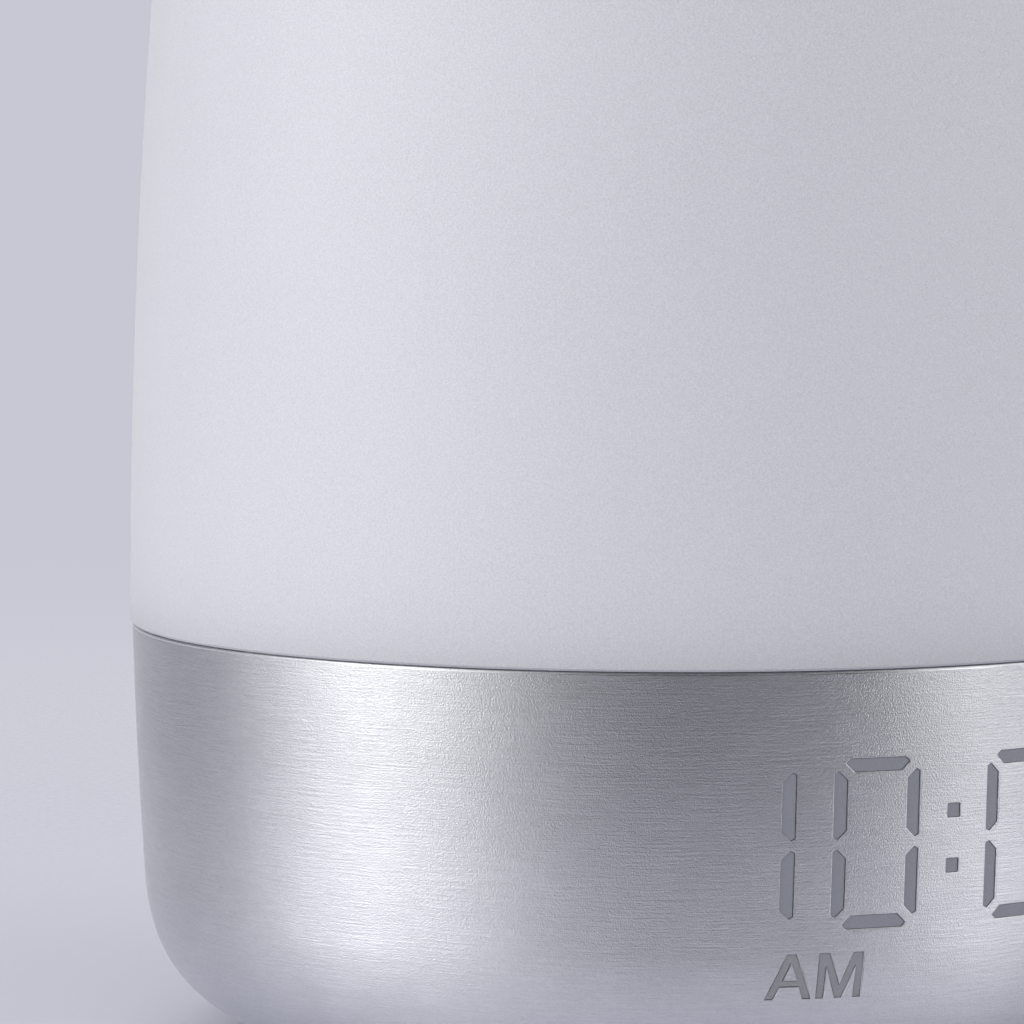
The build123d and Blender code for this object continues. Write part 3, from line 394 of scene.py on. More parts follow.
def upright(x, top, bottom, outer):
    """An upright segment; outer is 1 where the digit's outer edge is on its right, or else -1."""
    half = segment_width / 2
    points = []
    for end, way in ((top, -1), (bottom, 1)):
        ends = [(half * outer, end + way * segment_outer_bevel)]
        ends.append(((half - segment_tip) * outer, end))
        ends.append((-half * outer, end + way * segment_bevel))
        points += ends if way < 0 else ends[::-1]
    return [(x + across, z) for across, z in points]


def bar(left, right, z, outer):
    """A level segment; outer is 1 where the digit's outer edge is above it, or else -1."""
    half = segment_width / 2
    tip = (half - segment_tip) * outer
    far = segment_outer_bevel * 2
    points = []
    for end, way in ((left, 1), (right, -1)):
        ends = [(end + way * segment_bevel, -half * outer), (end, tip)]
        ends.append((end + way * far, half * outer))
        points += ends if way > 0 else ends[::-1]
    return [(x, z + up) for x, up in points]


def digit(centre):
    """The segments of a digit but for the middle one, which no shown digit needs."""
    top = seam_z - digit_top_drop
    bottom = top - digit_height
    middle = (top + bottom) / 2
    left, right = centre - digit_width / 2, centre + digit_width / 2
    half = segment_width / 2
    high = (top - upright_inset, middle + upright_half_gap)
    low = (middle - upright_half_gap, bottom + upright_inset)
    span = (left + bar_inset, right - bar_inset)
    return {
        "a": bar(*span, top - half, 1),
        "b": upright(right - half, *high, 1),
        "c": upright(right - half, *low, 1),
        "d": bar(*span, bottom + half, -1),
        "e": upright(left + half, *low, -1),
        "f": upright(left + half, *high, -1),
    }


def segment_outlines():
    """All shown segments and the two dots of the colon."""
    outlines = []
    for centre, names in zip(digit_places, shown):
        segments = digit(centre)
        outlines += [rounded(anticlockwise(segments[name])) for name in names]
    half = colon_size / 2
    for drop in colon_drops:
        low, high = seam_z - drop - colon_size, seam_z - drop
        outlines.append(rounded([(-half, low), (half, low), (half, high), (-half, high)]))
    return outlines


def letter_outlines():
    """The bold flat-topped A without its counter, and the M."""
    top = seam_z - letter_drop
    bottom = top - letter_height
    half = letter_width / 2
    slant = letter_stroke / cos(atan2(half - letter_stroke / 2, letter_height))
    flat = letter_stroke * letter_a_flat
    inner_foot = half - slant
    bar_low = bottom + letter_height * letter_a_bar
    run = (half - flat) / letter_height
    foot_at_bar = inner_foot - run * (bar_low - bottom)
    letter_a = [(-half, bottom), (-flat, top), (flat, top), (half, bottom),
                (inner_foot, bottom), (foot_at_bar, bar_low),
                (-foot_at_bar, bar_low), (-inner_foot, bottom)]
    shoulder = half - letter_stroke * letter_m_shoulder
    point = letter_stroke * letter_m_point
    inner = half - letter_stroke
    notch = top - letter_height * letter_m_notch
    dip = top - letter_height * letter_m_dip
    letter_m = [(-half, bottom), (-half, top), (-shoulder, top), (0, dip), (shoulder, top),
                (half, top), (half, bottom), (inner, bottom), (inner, notch),
                (point, bottom), (-point, bottom), (-inner, notch), (-inner, bottom)]
    placed = ((letter_a, letter_a_centre), (letter_m, letter_m_centre))
    return [anticlockwise([(x + centre, z) for x, z in letter]) for letter, centre in placed]


def circle(x, z, radius):
    """A round outline, which runs anticlockwise."""
    turn = [2 * pi * index / around_hole for index in range(around_hole)]
    return [(x + radius * cos(angle), z + radius * sin(angle)) for angle in turn]


def hole_outlines():
    """The round holes of the keys and the inlet."""
    keys = [circle(x, key_z, key_hole_radius) for x in key_places]
    return keys + [circle(0, jack_z, jack_hole_radius)]


def grown(outline, by):
    """An outline moved out by a small distance, corner by corner."""
    least_cosine = 0.5      # no corner moves more than twice as far
    points = np.array(outline)
    before = points - np.roll(points, 1, axis=0)
    after = np.roll(points, -1, axis=0) - points
    normals = []
    for way in (before, after):
        way = way / np.linalg.norm(way, axis=1, keepdims=True)
        normals.append(np.stack([way[:, 1], -way[:, 0]], axis=1))
    mean = normals[0] + normals[1]
    mean = mean / np.linalg.norm(mean, axis=1, keepdims=True)
    cosine = (mean * normals[0]).sum(axis=1, keepdims=True)
    stretch = 1 / np.maximum(least_cosine, cosine)
    return points + mean * by * stretch


# ---- Cutters, which carry the finish of each band to the cup ----
# the dark edge slot is near-black metal, painted shade; the paler edge slot is a painted highlight
polished, shade_painted_edge, painted_highlight = 1, 2, 3     # the cup's material slots after its brushed metal, 0


def cutter_rings():
    """Rings for the digits, the letters and the holes at the back.

    Each gives how far the outline is grown there, how far it lies outside the wall's face, and
    the finish of the band from this ring to the next.
    """
    halo = rim_line + halo_width
    bevel = 2 * hole_bevel_width
    rim = [(0.0, -window_reach, shade_painted_edge), (0.0, -rim_depth, shade_painted_edge)]
    # the digits' windows: a rim of painted shade, then a flush band of painted highlight
    digits = rim + [(rim_line, -halo_depth, painted_highlight), (halo, -halo_depth, painted_highlight),
                    (halo, window_reach, painted_highlight)]
    letters = rim + [(rim_line, rim_depth, shade_painted_edge), (rim_line, window_reach, shade_painted_edge)]
    holes = [(0.0, -window_reach, shade_painted_edge), (0.0, -hole_bevel_depth, polished),
             (bevel, hole_bevel_depth, polished), (bevel, window_reach, polished)]
    return digits, letters, holes


def wall_cutter(outlines, rings, side):
    """Prisms through the wall at the front or back, one for each outline."""
    verts, faces, slots = [], [], []
    for outline in outlines:
        count, start = len(outline), len(verts)
        for growth, out, _ in rings:
            for x, z in grown(outline, growth):
                surface = sqrt(radius_at(cup_line, z) ** 2 - x * x)
                verts.append((x, side * (surface + out), z))
        for ring in range(len(rings) - 1):
            low, high = start + ring * count, start + (ring + 1) * count
            for index in range(count):
                beside = (index + 1) % count
                faces.append((low + index, low + beside, high + beside, high + index))
                slots.append(rings[ring][2])
        faces.append(tuple(range(start, start + count))[::-1])
        faces.append(tuple(range(start + (len(rings) - 1) * count, start + len(rings) * count)))
        slots += [shade_painted_edge, shade_painted_edge]
    cutter = make_object("cutter", verts, faces)
    cutter.data.polygons.foreach_set("material_index", slots)
    outward(cutter)
    return cutter


# ---- The pieces that are made here ----
def analytic_normals(piece, arcs):
    """Exact normals wherever the mesh still is the turned outline, so that no facets show."""
    face_slack = 0.03
    angle_slack = 0.01          # degrees
    least_agreement = 0.98      # cosine between the exact normal and the face's own
    mesh = piece.data
    x, y, z = gathered(mesh.vertices, "co", 3).T / MM
    r = np.hypot(x, y)
    on_face = np.zeros(len(r), bool)
    lean = np.zeros(len(r))
    for centre_r, centre_z, radius, start, end in arcs:
        distance = np.abs(np.hypot(r - centre_r, z - centre_z) - radius)
        angle = np.degrees(np.arctan2(z - centre_z, r - centre_r))
        low, high = min(start, end) - angle_slack, max(start, end) + angle_slack
        near = (distance < face_slack) & (angle >= low) & (angle <= high)
        lean[near] = np.radians(angle[near])
        on_face |= near
    exact = np.stack([np.cos(lean) * x / r, np.cos(lean) * y / r, np.sin(lean)], axis=1)
    corner_vertex = gathered(mesh.loops, "vertex_index", kind=int)
    corner_counts = gathered(mesh.polygons, "loop_total", kind=int)
    corner_face = np.repeat(np.arange(len(corner_counts)), corner_counts)
    face_normals = gathered(mesh.polygons, "normal", 3)
    agreement = (exact[corner_vertex] * face_normals[corner_face]).sum(axis=1)
    off = ~(on_face[corner_vertex] & (agreement > least_agreement))
    faces_off = np.bincount(corner_face, weights=off, minlength=len(corner_counts)) > 0
    outer = ~faces_off[corner_face]
    normals = gathered(mesh.corner_normals, "vector", 3)
    normals[outer] = exact[corner_vertex[outer]]
    mesh.normals_split_custom_set(normals.tolist())


def finish_lip(piece):
    """Painted highlight on the lip's rounding, which gets the paler brushed finish; polish on the
    narrow band under it.
    """
    slack = 0.01
    mesh = piece.data
    x, y, z = gathered(mesh.polygons, "center", 3).T / MM
    slots = gathered(mesh.polygons, "material_index", kind=int)
    outer = np.hypot(x, y) > cup_rim_radius - lip_width - slack
    slots[outer & (z > seam_z - lip_band)] = polished
    # painted highlight: the lip's rounding gets the paler finish
    slots[outer & (z > seam_z + lip_height - lip_round)] = painted_highlight
    mesh.polygons.foreach_set("material_index", slots)
    mesh.update()


def metal_cup(slot_finishes):
    """The brushed cup with its lip, and the windows, key holes and inlet cut through it."""
    lip_r, lip_z = cup_rim_radius - lip_width, seam_z + lip_height
    band_z = seam_z - lip_band
    profile = [(radius_at(cup_line, seam_z, cup_wall), seam_z), (lip_r, seam_z), (lip_r, lip_z)]
    profile += corner_arc((cup_rim_radius - lip_round, lip_z - lip_round), lip_round,
                          90, -cup_rim_lean, lip_steps)
    profile += [(radius_at(cup_line, band_z), band_z)]
    profile += along(cup_line, high_z=seam_z - curve_start)
    profile += [(cup_hole_radius + cup_hole_chamfer, cup_lift),
                (cup_hole_radius, cup_lift + cup_hole_chamfer),
                (cup_hole_radius, cup_lift + cup_wall)]
    profile += along(cup_line, inset=cup_wall, high_z=seam_z - curve_start)[::-1]
    piece = turned("cup_shell", profile)
    digit_rings, letter_rings, hole_rings = cutter_rings()
    for outlines, rings, side in ((segment_outlines(), digit_rings, front),
                                  (letter_outlines(), letter_rings, front),
                                  (hole_outlines(), hole_rings, back)):
        cutter = wall_cutter(outlines, rings, side)
        for mesh in (piece.data, cutter.data):
            mesh.materials.clear()
            for finish in slot_finishes:
                mesh.materials.append(finish)
        cut(piece, cutter)
    smooth(piece)
    analytic_normals(piece, cup_line)
    finish_lip(piece)
    return piece


def diffuser_dome():
    """The frosted shell: chamfered foot, collar inside the cup, and the button's round hole."""
    foot_z = dome_z + dome_edge_chamfer
    wall_z = dome_z + dome_wall
    collar_z = seam_z - collar_depth
    collar_r = cup_rim_radius - cup_wall - collar_clearance
    edge_r = button_hole_radius + hole_edge_round
    _, crown_z, crown_radius, _, _ = dome_line[-1]
    edge_z = crown_z + sqrt(crown_radius ** 2 - edge_r ** 2) - hole_edge_round
    inner = along(dome_line, inset=dome_wall, low_z=wall_z + curve_start,
                  least_r=button_hole_radius)
    profile = [(dome_radius - dome_edge_chamfer, dome_z), (radius_at(dome_line, foot_z), foot_z)]
    profile += along(dome_line, low_z=foot_z + curve_start, least_r=edge_r)
    profile += corner_arc((edge_r, edge_z), hole_edge_round, hole_edge_start, 180)
    profile += [(button_hole_radius, inner[-1][1] - hole_foot_drop)]
    profile += inner[::-1]
    profile += [(collar_r - collar_wall, wall_z), (collar_r - collar_wall, collar_z),
                (collar_r, collar_z), (collar_r, dome_z)]
    piece = turned("dome_shell", profile, around_dome)
    smooth(piece)
    return piece


def seam_gasket():
    """The dark ring that closes the seam behind the lip."""
    inner = cup_rim_radius - cup_wall + gasket_inset
    outer = cup_rim_radius - lip_width - gasket_gap
    bottom, top = seam_z + gasket_lift, dome_z - gasket_gap
    profile = [(inner, bottom), (outer, bottom), (outer, top - gasket_chamfer),
               (outer - gasket_chamfer, top), (inner, top)]
    piece = turned("seam_ring", profile, around_gasket)
    smooth(piece)
    return piece


# ---- Nodes of a material or of the world ----
wide, narrow = 0.2, 0.15    # how far most of a noise keeps from its middle, for spread


class Nodes:
    """A node tree with short calls for the nodes that the finishes are made of."""

    def __init__(self, tree):
        self.tree = tree

    def node(self, kind, **settings):
        node = self.tree.nodes.new(kind)
        for key, value in settings.items():
            setattr(node, key, value)
        return node

    def join(self, source, target):
        self.tree.links.new(source, target)

    def put(self, socket, value):
        if isinstance(value, bpy.types.NodeSocket):
            self.join(value, socket)
        else:
            socket.default_value = value

    def math(self, operation, a, b=0.0, clamp=False):
        node = self.node("ShaderNodeMath", operation=operation, use_clamp=clamp)
        self.put(node.inputs[0], a)
        self.put(node.inputs[1], b)
        return node.outputs[0]

    def weigh(self, *terms):
        """The sum of the (value, share) terms."""
        products = [self.math("MULTIPLY", value, share) for value, share in terms]
        total = products[0]
        for product in products[1:]:
            total = self.math("ADD", total, product)
        return total

    def vector(self, operation, a, b=(0.0, 0.0, 0.0)):
        node = self.node("ShaderNodeVectorMath", operation=operation)
        self.put(node.inputs[0], a)
        self.put(node.inputs[1], b)
        return node.outputs["Value" if operation in ("LENGTH", "DOT_PRODUCT") else "Vector"]

    def scale(self, vector, by):
        node = self.node("ShaderNodeVectorMath", operation="SCALE")
        self.put(node.inputs[0], vector)
        self.put(node.inputs["Scale"], by)
        return node.outputs["Vector"]

    def split(self, vector):
        node = self.node("ShaderNodeSeparateXYZ")
        self.join(vector, node.inputs[0])
        return node.outputs["X"], node.outputs["Y"], node.outputs["Z"]

    def combine(self, x, y, z=0.0):
        node = self.node("ShaderNodeCombineXYZ")
        for socket, value in zip(node.inputs, (x, y, z)):
            self.put(socket, value)
        return node.outputs[0]

    def noise(self, vector, scale, detail=2.0, rough=0.5):
        node = self.node("ShaderNodeTexNoise")
        self.join(vector, node.inputs["Vector"])
        for key, value in (("Scale", scale), ("Detail", detail), ("Roughness", rough)):
            node.inputs[key].default_value = value
        return node.outputs["Fac"]

    def range(self, value, low, high, to_low, to_high, kind="LINEAR"):
        node = self.node("ShaderNodeMapRange", interpolation_type=kind, clamp=True)
        for index, part in enumerate((value, low, high, to_low, to_high)):
            self.put(node.inputs[index], part)
        return node.outputs[0]

    def spread(self, noise, to_low, to_high, half=wide):
        """Stretches a noise, which mostly keeps within half of 0.5, over a range."""
        return self.range(noise, 0.5 - half, 0.5 + half, to_low, to_high)

    def vary(self, noise, value, low, high):
        """The value times low to high, by the noise."""
        return self.spread(noise, value * low, value * high)

    def mix(self, share, a, b):
        """A mix of two colours, each of them a tuple or a socket."""
        node = self.node("ShaderNodeMix", data_type="RGBA")
        self.put(node.inputs["Factor"], share)
        colours = [socket for socket in node.inputs if socket.type == "RGBA"]
        for socket, value in zip(colours, (a, b)):
            self.put(socket, (*value, 1.0) if isinstance(value, tuple) else value)
        return [socket for socket in node.outputs if socket.type == "RGBA"][0]

    def blend(self, share, a, b):
        """A mix of two shaders."""
        node = self.node("ShaderNodeMixShader")
        for socket, value in zip(node.inputs, (share, a, b)):
            self.join(value, socket)
        return node.outputs[0]

    def bump(self, height, distance):
        node = self.node("ShaderNodeBump")
        node.inputs["Distance"].default_value = distance
        self.join(height, node.inputs["Height"])
        return node.outputs["Normal"]


class Material(Nodes):
    """A new material with its shader, whose sockets set() fills."""

    def __init__(self, name):
        self.data = bpy.data.materials.new(name)
        self.data.use_nodes = True
        super().__init__(self.data.node_tree)
        self.shader = self.tree.nodes["Principled BSDF"]

    def place(self):
        """Where the point is on the object, in millimetres."""
        return self.scale(self.node("ShaderNodeTexCoord").outputs["Object"], 1 / MM)

    def set(self, **values):
        """Sets the shader's own sockets: base_color=..., roughness=..."""
        for key, value in values.items():
            title = key.replace("_", " ").title().replace("Ior", "IOR")
            self.put(self.shader.inputs[title], value)

    def surface(self, shader):
        """Takes another shader for the surface."""
        self.join(shader, self.tree.nodes["Material Output"].inputs["Surface"])


black = (0.0, 0.0, 0.0)


def shade(colour, by):
    """The colour, lighter or darker by a factor."""
    return tuple(min(1.0, part * by) for part in colour)


# ---- Finishes; scales of noises are per mm ----
def brushed_metal(name, colour, roughness, anisotropy):
    """Metal brushed around the axis: long thin grooves, short scratches and sparkling grain."""
    m = Material(name)
    place = m.place()
    x, y, z = m.split(place)
    drift = m.noise(place, drift_scale)
    run = m.math("ADD", z, m.vector("LENGTH", m.combine(x, y)))
    run = m.math("ADD", run, m.math("MULTIPLY", drift, drift_waver))

    def marks(length, width, shift=0.0):
        """Noise drawn out around the axis."""
        spot = [m.math("MULTIPLY", part, 1 / length) for part in (x, y)]
        spot.append(m.math("ADD", m.math("MULTIPLY", run, 1 / width), shift))
        return m.noise(m.combine(*spot), 1.0, detail=1.0, rough=mark_sharpness)

    scratches = marks(*scratch_size)
    grooves = marks(*groove_size, groove_shift)
    grooves = m.math("MULTIPLY", grooves, m.spread(drift, faded_groove, 1.0, narrow))
    swell = marks(*swell_size, swell_shift)
    grain = m.noise(place, brush_grain, detail=1.0)
    height = m.weigh((scratches, scratch_depth), (grooves, groove_depth), (grain, grain_depth))
    tone = m.weigh((scratches, mark_tone), (grooves, mark_tone), (grain, grain_tone))
    base = m.mix(m.spread(tone, 0.0, 1.0, narrow),
                 shade(colour, 1 - tone_change), shade(colour, 1 + tone_change))
    # painted light: the colour grows paler towards the cup's corner, for the floor's light in its
    # reflections
    m.set(base_color=m.scale(base, m.range(z, *painted_light_heights, 1.0, painted_corner_light)))
    m.set(roughness=m.vary(swell, roughness, 1 - swell_change, 1 + swell_change))
    m.set(metallic=1.0, normal=m.bump(height, MM))
    axis, quarter_turn = (0.0, 0.0, 1.0), 0.25
    m.set(anisotropic=anisotropy, anisotropic_rotation=quarter_turn,
          tangent=m.vector("NORMALIZE", m.vector("CROSS_PRODUCT", axis, place)))
    return m.data


def polished_metal(name, colour, roughness):
    """Cut and polished edge, with faint tool lines."""
    m = Material(name)
    lines = m.noise(m.place(), tool_lines)
    m.set(metallic=1.0, roughness=m.vary(lines, roughness, *tool_change))
    m.set(base_color=m.mix(lines, shade(colour, tool_tone), colour))
    m.set(normal=m.bump(lines, tool_depth * MM))
    return m.data


def plain_metal(name, colour, roughness):
    """Rolled, plated or drawn metal with fine directionless wear."""
    m = Material(name)
    wear = m.noise(m.place(), wear_scale, detail=4.0, rough=0.65)
    m.set(metallic=1.0, roughness=m.vary(wear, roughness, *wear_change))
    m.set(base_color=m.mix(m.spread(wear, 0.0, 1.0, narrow), shade(colour, wear_tone), colour))
    m.set(normal=m.bump(wear, wear_depth * MM))
    return m.data


def frosted(name, colour):
    """Satin frosted acrylic: fine even grain, with painted shade darkening the foot where the
    collar backs it.
    """
    m = Material(name)
    place = m.place()
    _, _, z = m.split(place)
    grain = m.noise(place, frost_grain, detail=1.0)
    cloud = m.noise(place, frost_cloud)
    darkest, dark = (shade(colour, share) for share in frost_dark)
    low = m.mix(m.spread(cloud, 0.0, 1.0, narrow), darkest, dark)
    base = m.mix(m.spread(grain, 0.0, 1.0), low, shade(colour, frost_light))
    fade = m.math("EXPONENT", m.math("DIVIDE", m.math("SUBTRACT", z, dome_z), -painted_shade_fade))
    # painted shade: the colour darkens towards black right over the seam
    m.set(base_color=m.mix(m.math("MULTIPLY", fade, painted_foot_shade, clamp=True), base, black))
    m.set(roughness=m.spread(grain, *frost_roughness), specular_ior_level=0.45)
    m.set(subsurface_weight=0.12, subsurface_scale=1.0,
          subsurface_radius=tuple(part * MM for part in frost_scatter))
    m.set(sheen_weight=0.12, sheen_roughness=0.5, normal=m.bump(grain, frost_depth * MM))
    return m.data


def moulded(name, colour, roughness=0.45, grain_size=0.35, depth=0.006, drift=0.06):
    """Moulded plastic, rubber or paint: spark-eroded grain and a slight drift of the colour."""
    m = Material(name)
    place = m.place()
    grain = m.noise(place, 1 / grain_size, detail=3.0, rough=0.6)
    cloud = m.noise(place, moulded_cloud, detail=3.0)
    m.set(base_color=m.mix(m.spread(cloud, 0.0, 1.0),
                           shade(colour, 1 - drift), shade(colour, 1 + drift)))
    m.set(roughness=m.spread(grain, roughness - moulded_change, roughness + moulded_change))
    m.set(normal=m.bump(grain, depth * MM))
    return m.data


def lens_plastic(name, digit_colour, letter_colour):
    """Satin lens: grey in the digits, a little warmer in the letters below them."""
    m = Material(name)
    place = m.place()
    _, _, z = m.split(place)
    letters = m.range(z, letters_below - letters_blend, letters_below + letters_blend, 1.0, 0.0)
    grain = m.noise(place, lens_grain)
    tone = m.mix(letters, digit_colour, letter_colour)
    m.set(base_color=m.mix(m.spread(grain, 0.0, lens_mottle), tone, black))
    m.set(roughness=m.spread(grain, *lens_roughness), normal=m.bump(grain, lens_depth * MM))
    return m.data


def circuit(name, colour, track):
    """Solder mask over copper tracks: a grid of soft raised lines under the lacquer."""
    m = Material(name)
    place = m.place()
    cells = m.node("ShaderNodeTexVoronoi", feature="DISTANCE_TO_EDGE", distance="MANHATTAN")
    m.join(place, cells.inputs["Vector"])
    cells.inputs["Scale"].default_value = board_cells
    tracks = m.range(cells.outputs["Distance"], *board_tracks, 1.0, 0.0)
    weave = m.noise(place, board_weave)
    base = m.mix(weave, shade(colour, 1 - board_change), shade(colour, 1 + board_change))
    m.set(base_color=m.mix(m.math("MULTIPLY", tracks, board_cover), base, track))
    m.set(roughness=0.32, normal=m.bump(m.math("ADD", tracks, weave), board_depth * MM))
    return m.data


def make_finishes():
    """One finish for each material slot of the part.

    Each row gives the kind of finish, its colours, and then what that kind takes: roughness for
    the metals, and roughness, size and depth of the grain and drift of the colour for moulded.
    """
    recipes = {
        "brushed_aluminium": (brushed_metal, (0.60, 0.605, 0.625), 0.33, 0.9),
        "frosted_diffuser": (frosted, (0.64, 0.645, 0.69)),
        "smoked_lens": (lens_plastic, (0.255, 0.264, 0.303), (0.287, 0.287, 0.312)),
        "white_plastic": (moulded, (0.72, 0.72, 0.72), 0.5),
        "black_plastic": (moulded, (0.028, 0.028, 0.031), 0.5, 0.4, 0.012, 0.15),
        "key_plastic": (moulded, (0.045, 0.046, 0.05), 0.42, 0.3, 0.006, 0.1),
        "button_plastic": (moulded, (0.56, 0.565, 0.60), 0.4, 0.3, 0.004, 0.02),
        "switch_plunger": (moulded, (0.03, 0.03, 0.03), 0.4),
        "ivory_plastic": (moulded, (0.62, 0.57, 0.45), 0.45),
        "chip_black": (moulded, (0.02, 0.02, 0.022), 0.6, 0.25, 0.01),
        "capacitor_sleeve": (moulded, (0.03, 0.04, 0.09), 0.3),
        "circuit_board": (circuit, (0.02, 0.12, 0.05), (0.05, 0.22, 0.09)),
        "white_board": (circuit, (0.62, 0.62, 0.62), (0.7, 0.69, 0.66)),
        "led_package": (moulded, (0.75, 0.66, 0.3), 0.3),
        "steel": (plain_metal, (0.55, 0.55, 0.56), 0.35),
        "cell_steel": (plain_metal, (0.68, 0.67, 0.65), 0.22),
        "gold_contact": (plain_metal, (0.83, 0.62, 0.25), 0.25),
        "copper": (plain_metal, (0.75, 0.38, 0.22), 0.3),
        "magnet_ferrite": (moulded, (0.05, 0.05, 0.052), 0.55, 0.5, 0.02),
        "cone_paper": (moulded, (0.04, 0.038, 0.035), 0.85, 0.6, 0.05),
        "dark_rubber": (moulded, (0.022, 0.023, 0.026), 0.7, 0.3, 0.012, 0.15),
        "foam": (moulded, (0.05, 0.05, 0.05), 0.95, 0.5, 0.1),
        "ribbon_cable": (moulded, (0.5, 0.5, 0.5), 0.4, 1.27, 0.05),
        "wire_red": (moulded, (0.45, 0.03, 0.02), 0.4),
        "wire_black": (moulded, (0.02, 0.02, 0.02), 0.4),
        "column_aluminium": (plain_metal, (0.6, 0.6, 0.61), 0.4),
    }
    return {name: make(name, *values) for name, (make, *values) in recipes.items()}


def dress_nodes(finishes):
    """Gives each CAD node the finish of its slot."""
    for part in frame["record"]["subparts"]:
        node = frame["nodes"][part["node"]]
        node.data.materials.clear()
        node.data.materials.append(finishes[part["material_slot"]])


# ---- Stage, light and camera ----
view_azimuth = -28.95       # degrees; 0 looks along +Y
camera_distance = 538.035   # from the axis
camera_height = 97.69
camera_pitch = 85.885       # degrees, from straight down
camera_turn = -27.074       # degrees: it looks past the axis, which lies right of the middle
camera_lens = 170.16
camera_sensor = 36.0
camera_clip = (10.0, 20000.0)

# Soft light around the object: (azimuth from the view, radiance). The wall lights everything.
# The flag stands nearer and shows in reflections only: it darkens and lights the metal's front.
wall_levels = (
    (-180, 0.6), (-150, 0.6), (-130, 0.25), (-110, 0.2), (-100, 0.4), (-90, 1.1), (-80, 2.3),
    (-70, 3.1), (-60, 2.95), (-50, 2.5), (-30, 1.6), (-10, 1.05), (10, 0.5), (30, 0.35),
    (42, 0.8), (50, 1.1), (62, 1.65), (72, 1.8), (82, 1.5), (90, 1.2), (110, 0.65), (130, 0.46),
    (180, 0.5),
)
flag_levels = (
    (-60, 2.65), (-52, 2.4), (-38, 1.08), (-22, 0.22), (-8, 0.1), (4, 0.0), (12, 0.08),
    (22, 0.18), (34, 0.0), (42, 0.4), (50, 1.25), (60, 1.75),
)
wall_radius, wall_height = 1000.0, 1200.0
flag_radius, flag_height = 200.0, 600.0
panel_size, panel_height, panel_level = 1400.0, 1200.0, 1.2
wall_step = 2.5             # degrees

ambient_light = (0.31, 0.31, 0.35)
backdrop_high = (0.577, 0.577, 0.658)
backdrop_low = (0.65, 0.65, 0.73)
backdrop_change = (-0.135, -0.075)  # sines of the slopes between which the tone changes

floor_rings = (20.0, 100.0, 200.0, 350.0, 600.0, 1200.0, 2500.0)
floor_colour = (0.645, 0.647, 0.736)
floor_grain = 0.9           # per mm
floor_mottle = 0.02
floor_depth = 0.01
floor_fade = (120.0, 450.0)
fade_spread = 60.0          # the fade is broken up by the grain, so that it has no edge
painted_near_light = 1.06            # painted light: the floor right in front of the object is a little paler, painted shade: further to the front it is darker
painted_far_shade = 0.8              # and further to the front it is darker
front_azimuth = -12.0       # which way the front is, from the view
front_start = 50.0          # ahead of the axis, from where these gains hold in full
front_change = (90.0, 200.0)        # from the paler part to the darker one


def direction(azimuth):
    """Level unit vector from the axis, by the angle from the main view, positive to the right."""
    angle = radians(view_azimuth + azimuth)
    return sin(angle), -cos(angle)


def make_camera():
    """The camera of the main view."""
    data = bpy.data.cameras.new("camera")
    data.sensor_width = camera_sensor
    data.lens = camera_lens
    data.clip_start, data.clip_end = (distance * MM for distance in camera_clip)
    camera = bpy.data.objects.new("camera", data)
    x, y = direction(0.0)
    camera.location = (x * camera_distance * MM, y * camera_distance * MM, camera_height * MM)
    camera.rotation_euler = (radians(camera_pitch), 0.0, radians(camera_turn))
    bpy.context.scene.collection.objects.link(camera)
    bpy.context.scene.camera = camera


def glow_material(name, level):
    """Plain emission; level is a number, or the name of a value that the mesh carries."""
    m = Material(name)
    m.tree.nodes.remove(m.shader)
    if isinstance(level, str):
        level = m.node("ShaderNodeAttribute", attribute_name=level).outputs["Fac"]
    glow = m.node("ShaderNodeEmission")
    m.put(glow.inputs["Strength"], level)
    m.surface(glow.outputs[0])
    return m.data


def light_wall(name, levels, radius, height, glossy_only=False):
    """A curved wall of soft light, with straight runs between its levels."""
    first, last = levels[0][0], levels[-1][0]
    count = round((last - first) / wall_step)
    verts, faces, values = [], [], []
    for index in range(count + 1):
        azimuth = first + wall_step * index
        x, y = direction(azimuth)
        verts += [(x * radius, y * radius, 0.0), (x * radius, y * radius, height)]
        values += [float(np.interp(azimuth, *zip(*levels)))] * 2
    for index in range(count):
        faces.append((2 * index, 2 * index + 2, 2 * index + 3, 2 * index + 1))
    wall = make_object(name, verts, faces)
    wall.data.attributes.new("level", "FLOAT", "POINT").data.foreach_set("value", values)
    wall.data.materials.append(glow_material(name, "level"))
    wall.visible_camera = False
    if glossy_only:
        wall.visible_diffuse = False
        wall.visible_transmission = False
        wall.visible_shadow = False


def top_panel(size, height, level):
    """A soft panel overhead."""
    half = size / 2
    corners = [(x * half, y * half, height) for x, y in ((-1, -1), (1, -1), (1, 1), (-1, 1))]
    panel = make_object("top_panel", corners, [(0, 1, 2, 3)])
    panel.data.materials.append(glow_material("top_panel", level))
    panel.visible_camera = False


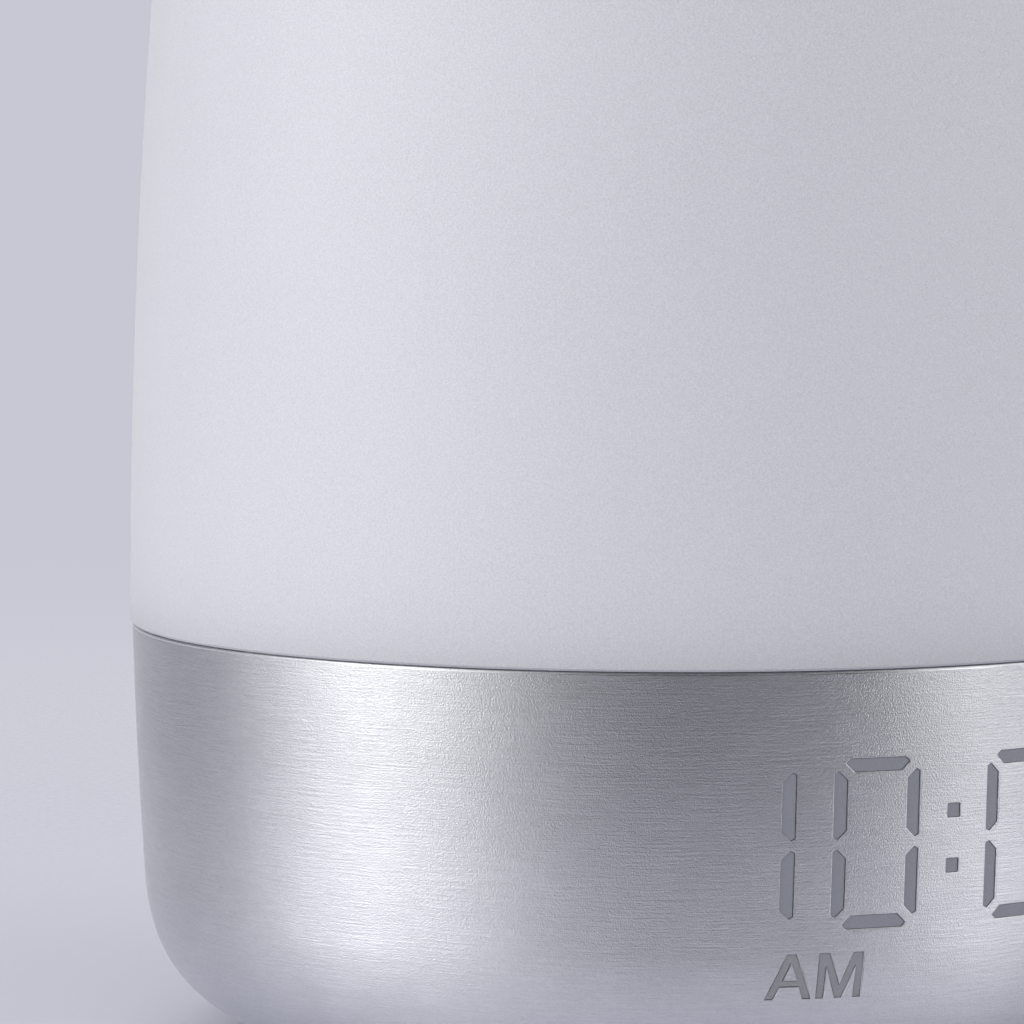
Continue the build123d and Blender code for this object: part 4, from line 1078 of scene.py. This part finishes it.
def floor_finish(colour, near, far):
    """Pale and fine-grained, with painted light just in front of the object and painted shade
    further to the front, fading to nothing from near to far.
    """
    m = Material("floor")
    place = m.place()
    grain = m.noise(place, floor_grain)
    uneven = m.math("MULTIPLY", m.math("SUBTRACT", grain, 0.5), fade_spread)
    reach = m.math("ADD", m.vector("LENGTH", place), uneven)
    towards = m.vector("DOT_PRODUCT", place, (*direction(front_azimuth), 0.0))
    front = m.range(towards, 0.0, front_start, 0.0, 1.0, "SMOOTHSTEP")
    beyond = m.range(reach, *front_change, 0.0, 1.0, "SMOOTHSTEP")
    # painted light just in front of the object, painted shade further out
    painted_front_tone = m.mix(beyond, shade(colour, painted_near_light), shade(colour, painted_far_shade))
    tone = m.mix(front, colour, painted_front_tone)
    m.set(base_color=m.mix(m.math("MULTIPLY", grain, floor_mottle), tone, black))
    m.set(roughness=0.7, specular_ior_level=0.2, normal=m.bump(grain, floor_depth * MM))
    clear = m.node("ShaderNodeBsdfTransparent").outputs[0]
    faded = m.range(reach, near, far, 0.0, 1.0, "SMOOTHSTEP")
    m.surface(m.blend(faded, m.shader.outputs[0], clear))
    return m.data


def make_floor():
    """A pale round floor that fades into the backdrop beyond the object's shadow."""
    steps = around_floor
    turn = [2 * pi * i / steps for i in range(steps)]
    verts = [(0.0, 0.0, 0.0)]
    for radius in floor_rings:
        verts += [(radius * cos(angle), radius * sin(angle), 0.0) for angle in turn]
    faces = [(0, 1 + i, 1 + (i + 1) % steps) for i in range(steps)]
    for ring in range(len(floor_rings) - 1):
        low, high = 1 + ring * steps, 1 + (ring + 1) * steps
        for i in range(steps):
            beside = (i + 1) % steps
            faces.append((low + i, high + i, high + beside, low + beside))
    floor = make_object("floor", verts, faces)
    floor.data.materials.append(floor_finish(floor_colour, *floor_fade))


def make_world():
    """Even pale surroundings, a little lighter towards the floor.

    The camera, reflections and what is seen through glass get the backdrop's own tone, which
    gives no light.
    """
    world = bpy.data.worlds.new("surroundings")
    bpy.context.scene.world = world
    world.use_nodes = True
    w = Nodes(world.node_tree)
    w.tree.nodes.clear()
    _, _, slope = w.split(w.node("ShaderNodeTexCoord").outputs["Generated"])
    rise = w.range(slope, *backdrop_change, 0.0, 1.0, "SMOOTHSTEP")
    seen = w.node("ShaderNodeBackground")
    w.join(w.mix(rise, backdrop_low, backdrop_high), seen.inputs["Color"])
    lighting = w.node("ShaderNodeBackground")
    lighting.inputs["Color"].default_value = (*ambient_light, 1.0)
    ray = w.node("ShaderNodeLightPath").outputs
    looking = w.math("MAXIMUM", ray["Is Camera Ray"], ray["Is Glossy Ray"])
    looking = w.math("MAXIMUM", looking, ray["Is Transmission Ray"])
    output = w.node("ShaderNodeOutputWorld")
    w.join(w.blend(looking, lighting.outputs[0], seen.outputs[0]), output.inputs["Surface"])


# ---- Build ----
make_camera()
bpy.context.scene.view_settings.view_transform = "Standard"
finishes = make_finishes()
dress_nodes(finishes)

cup = metal_cup([
    finishes["brushed_aluminium"],
    polished_metal("polished_edge", (0.84, 0.845, 0.86), 0.2),
    # near-black walls of the windows and holes: painted shade
    plain_metal("shade_painted_edge", (0.09, 0.09, 0.095), 0.55),
    # paler edge: painted highlight
    brushed_metal("highlight_painted_edge", (0.66, 0.666, 0.685), 0.33, 0.9),
])
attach(cup, "clock")
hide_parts("metal_cup")

dome = diffuser_dome()
dome.data.materials.append(finishes["frosted_diffuser"])
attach(dome, "clock")
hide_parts("diffuser_dome")

gasket = seam_gasket()
gasket.data.materials.append(finishes["dark_rubber"])
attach(gasket, "clock")
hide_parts("seam_gasket")

make_world()
make_floor()
light_wall("light_wall", wall_levels, wall_radius, wall_height)
light_wall("front_flag", flag_levels, flag_radius, flag_height, glossy_only=True)
top_panel(panel_size, panel_height, panel_level)
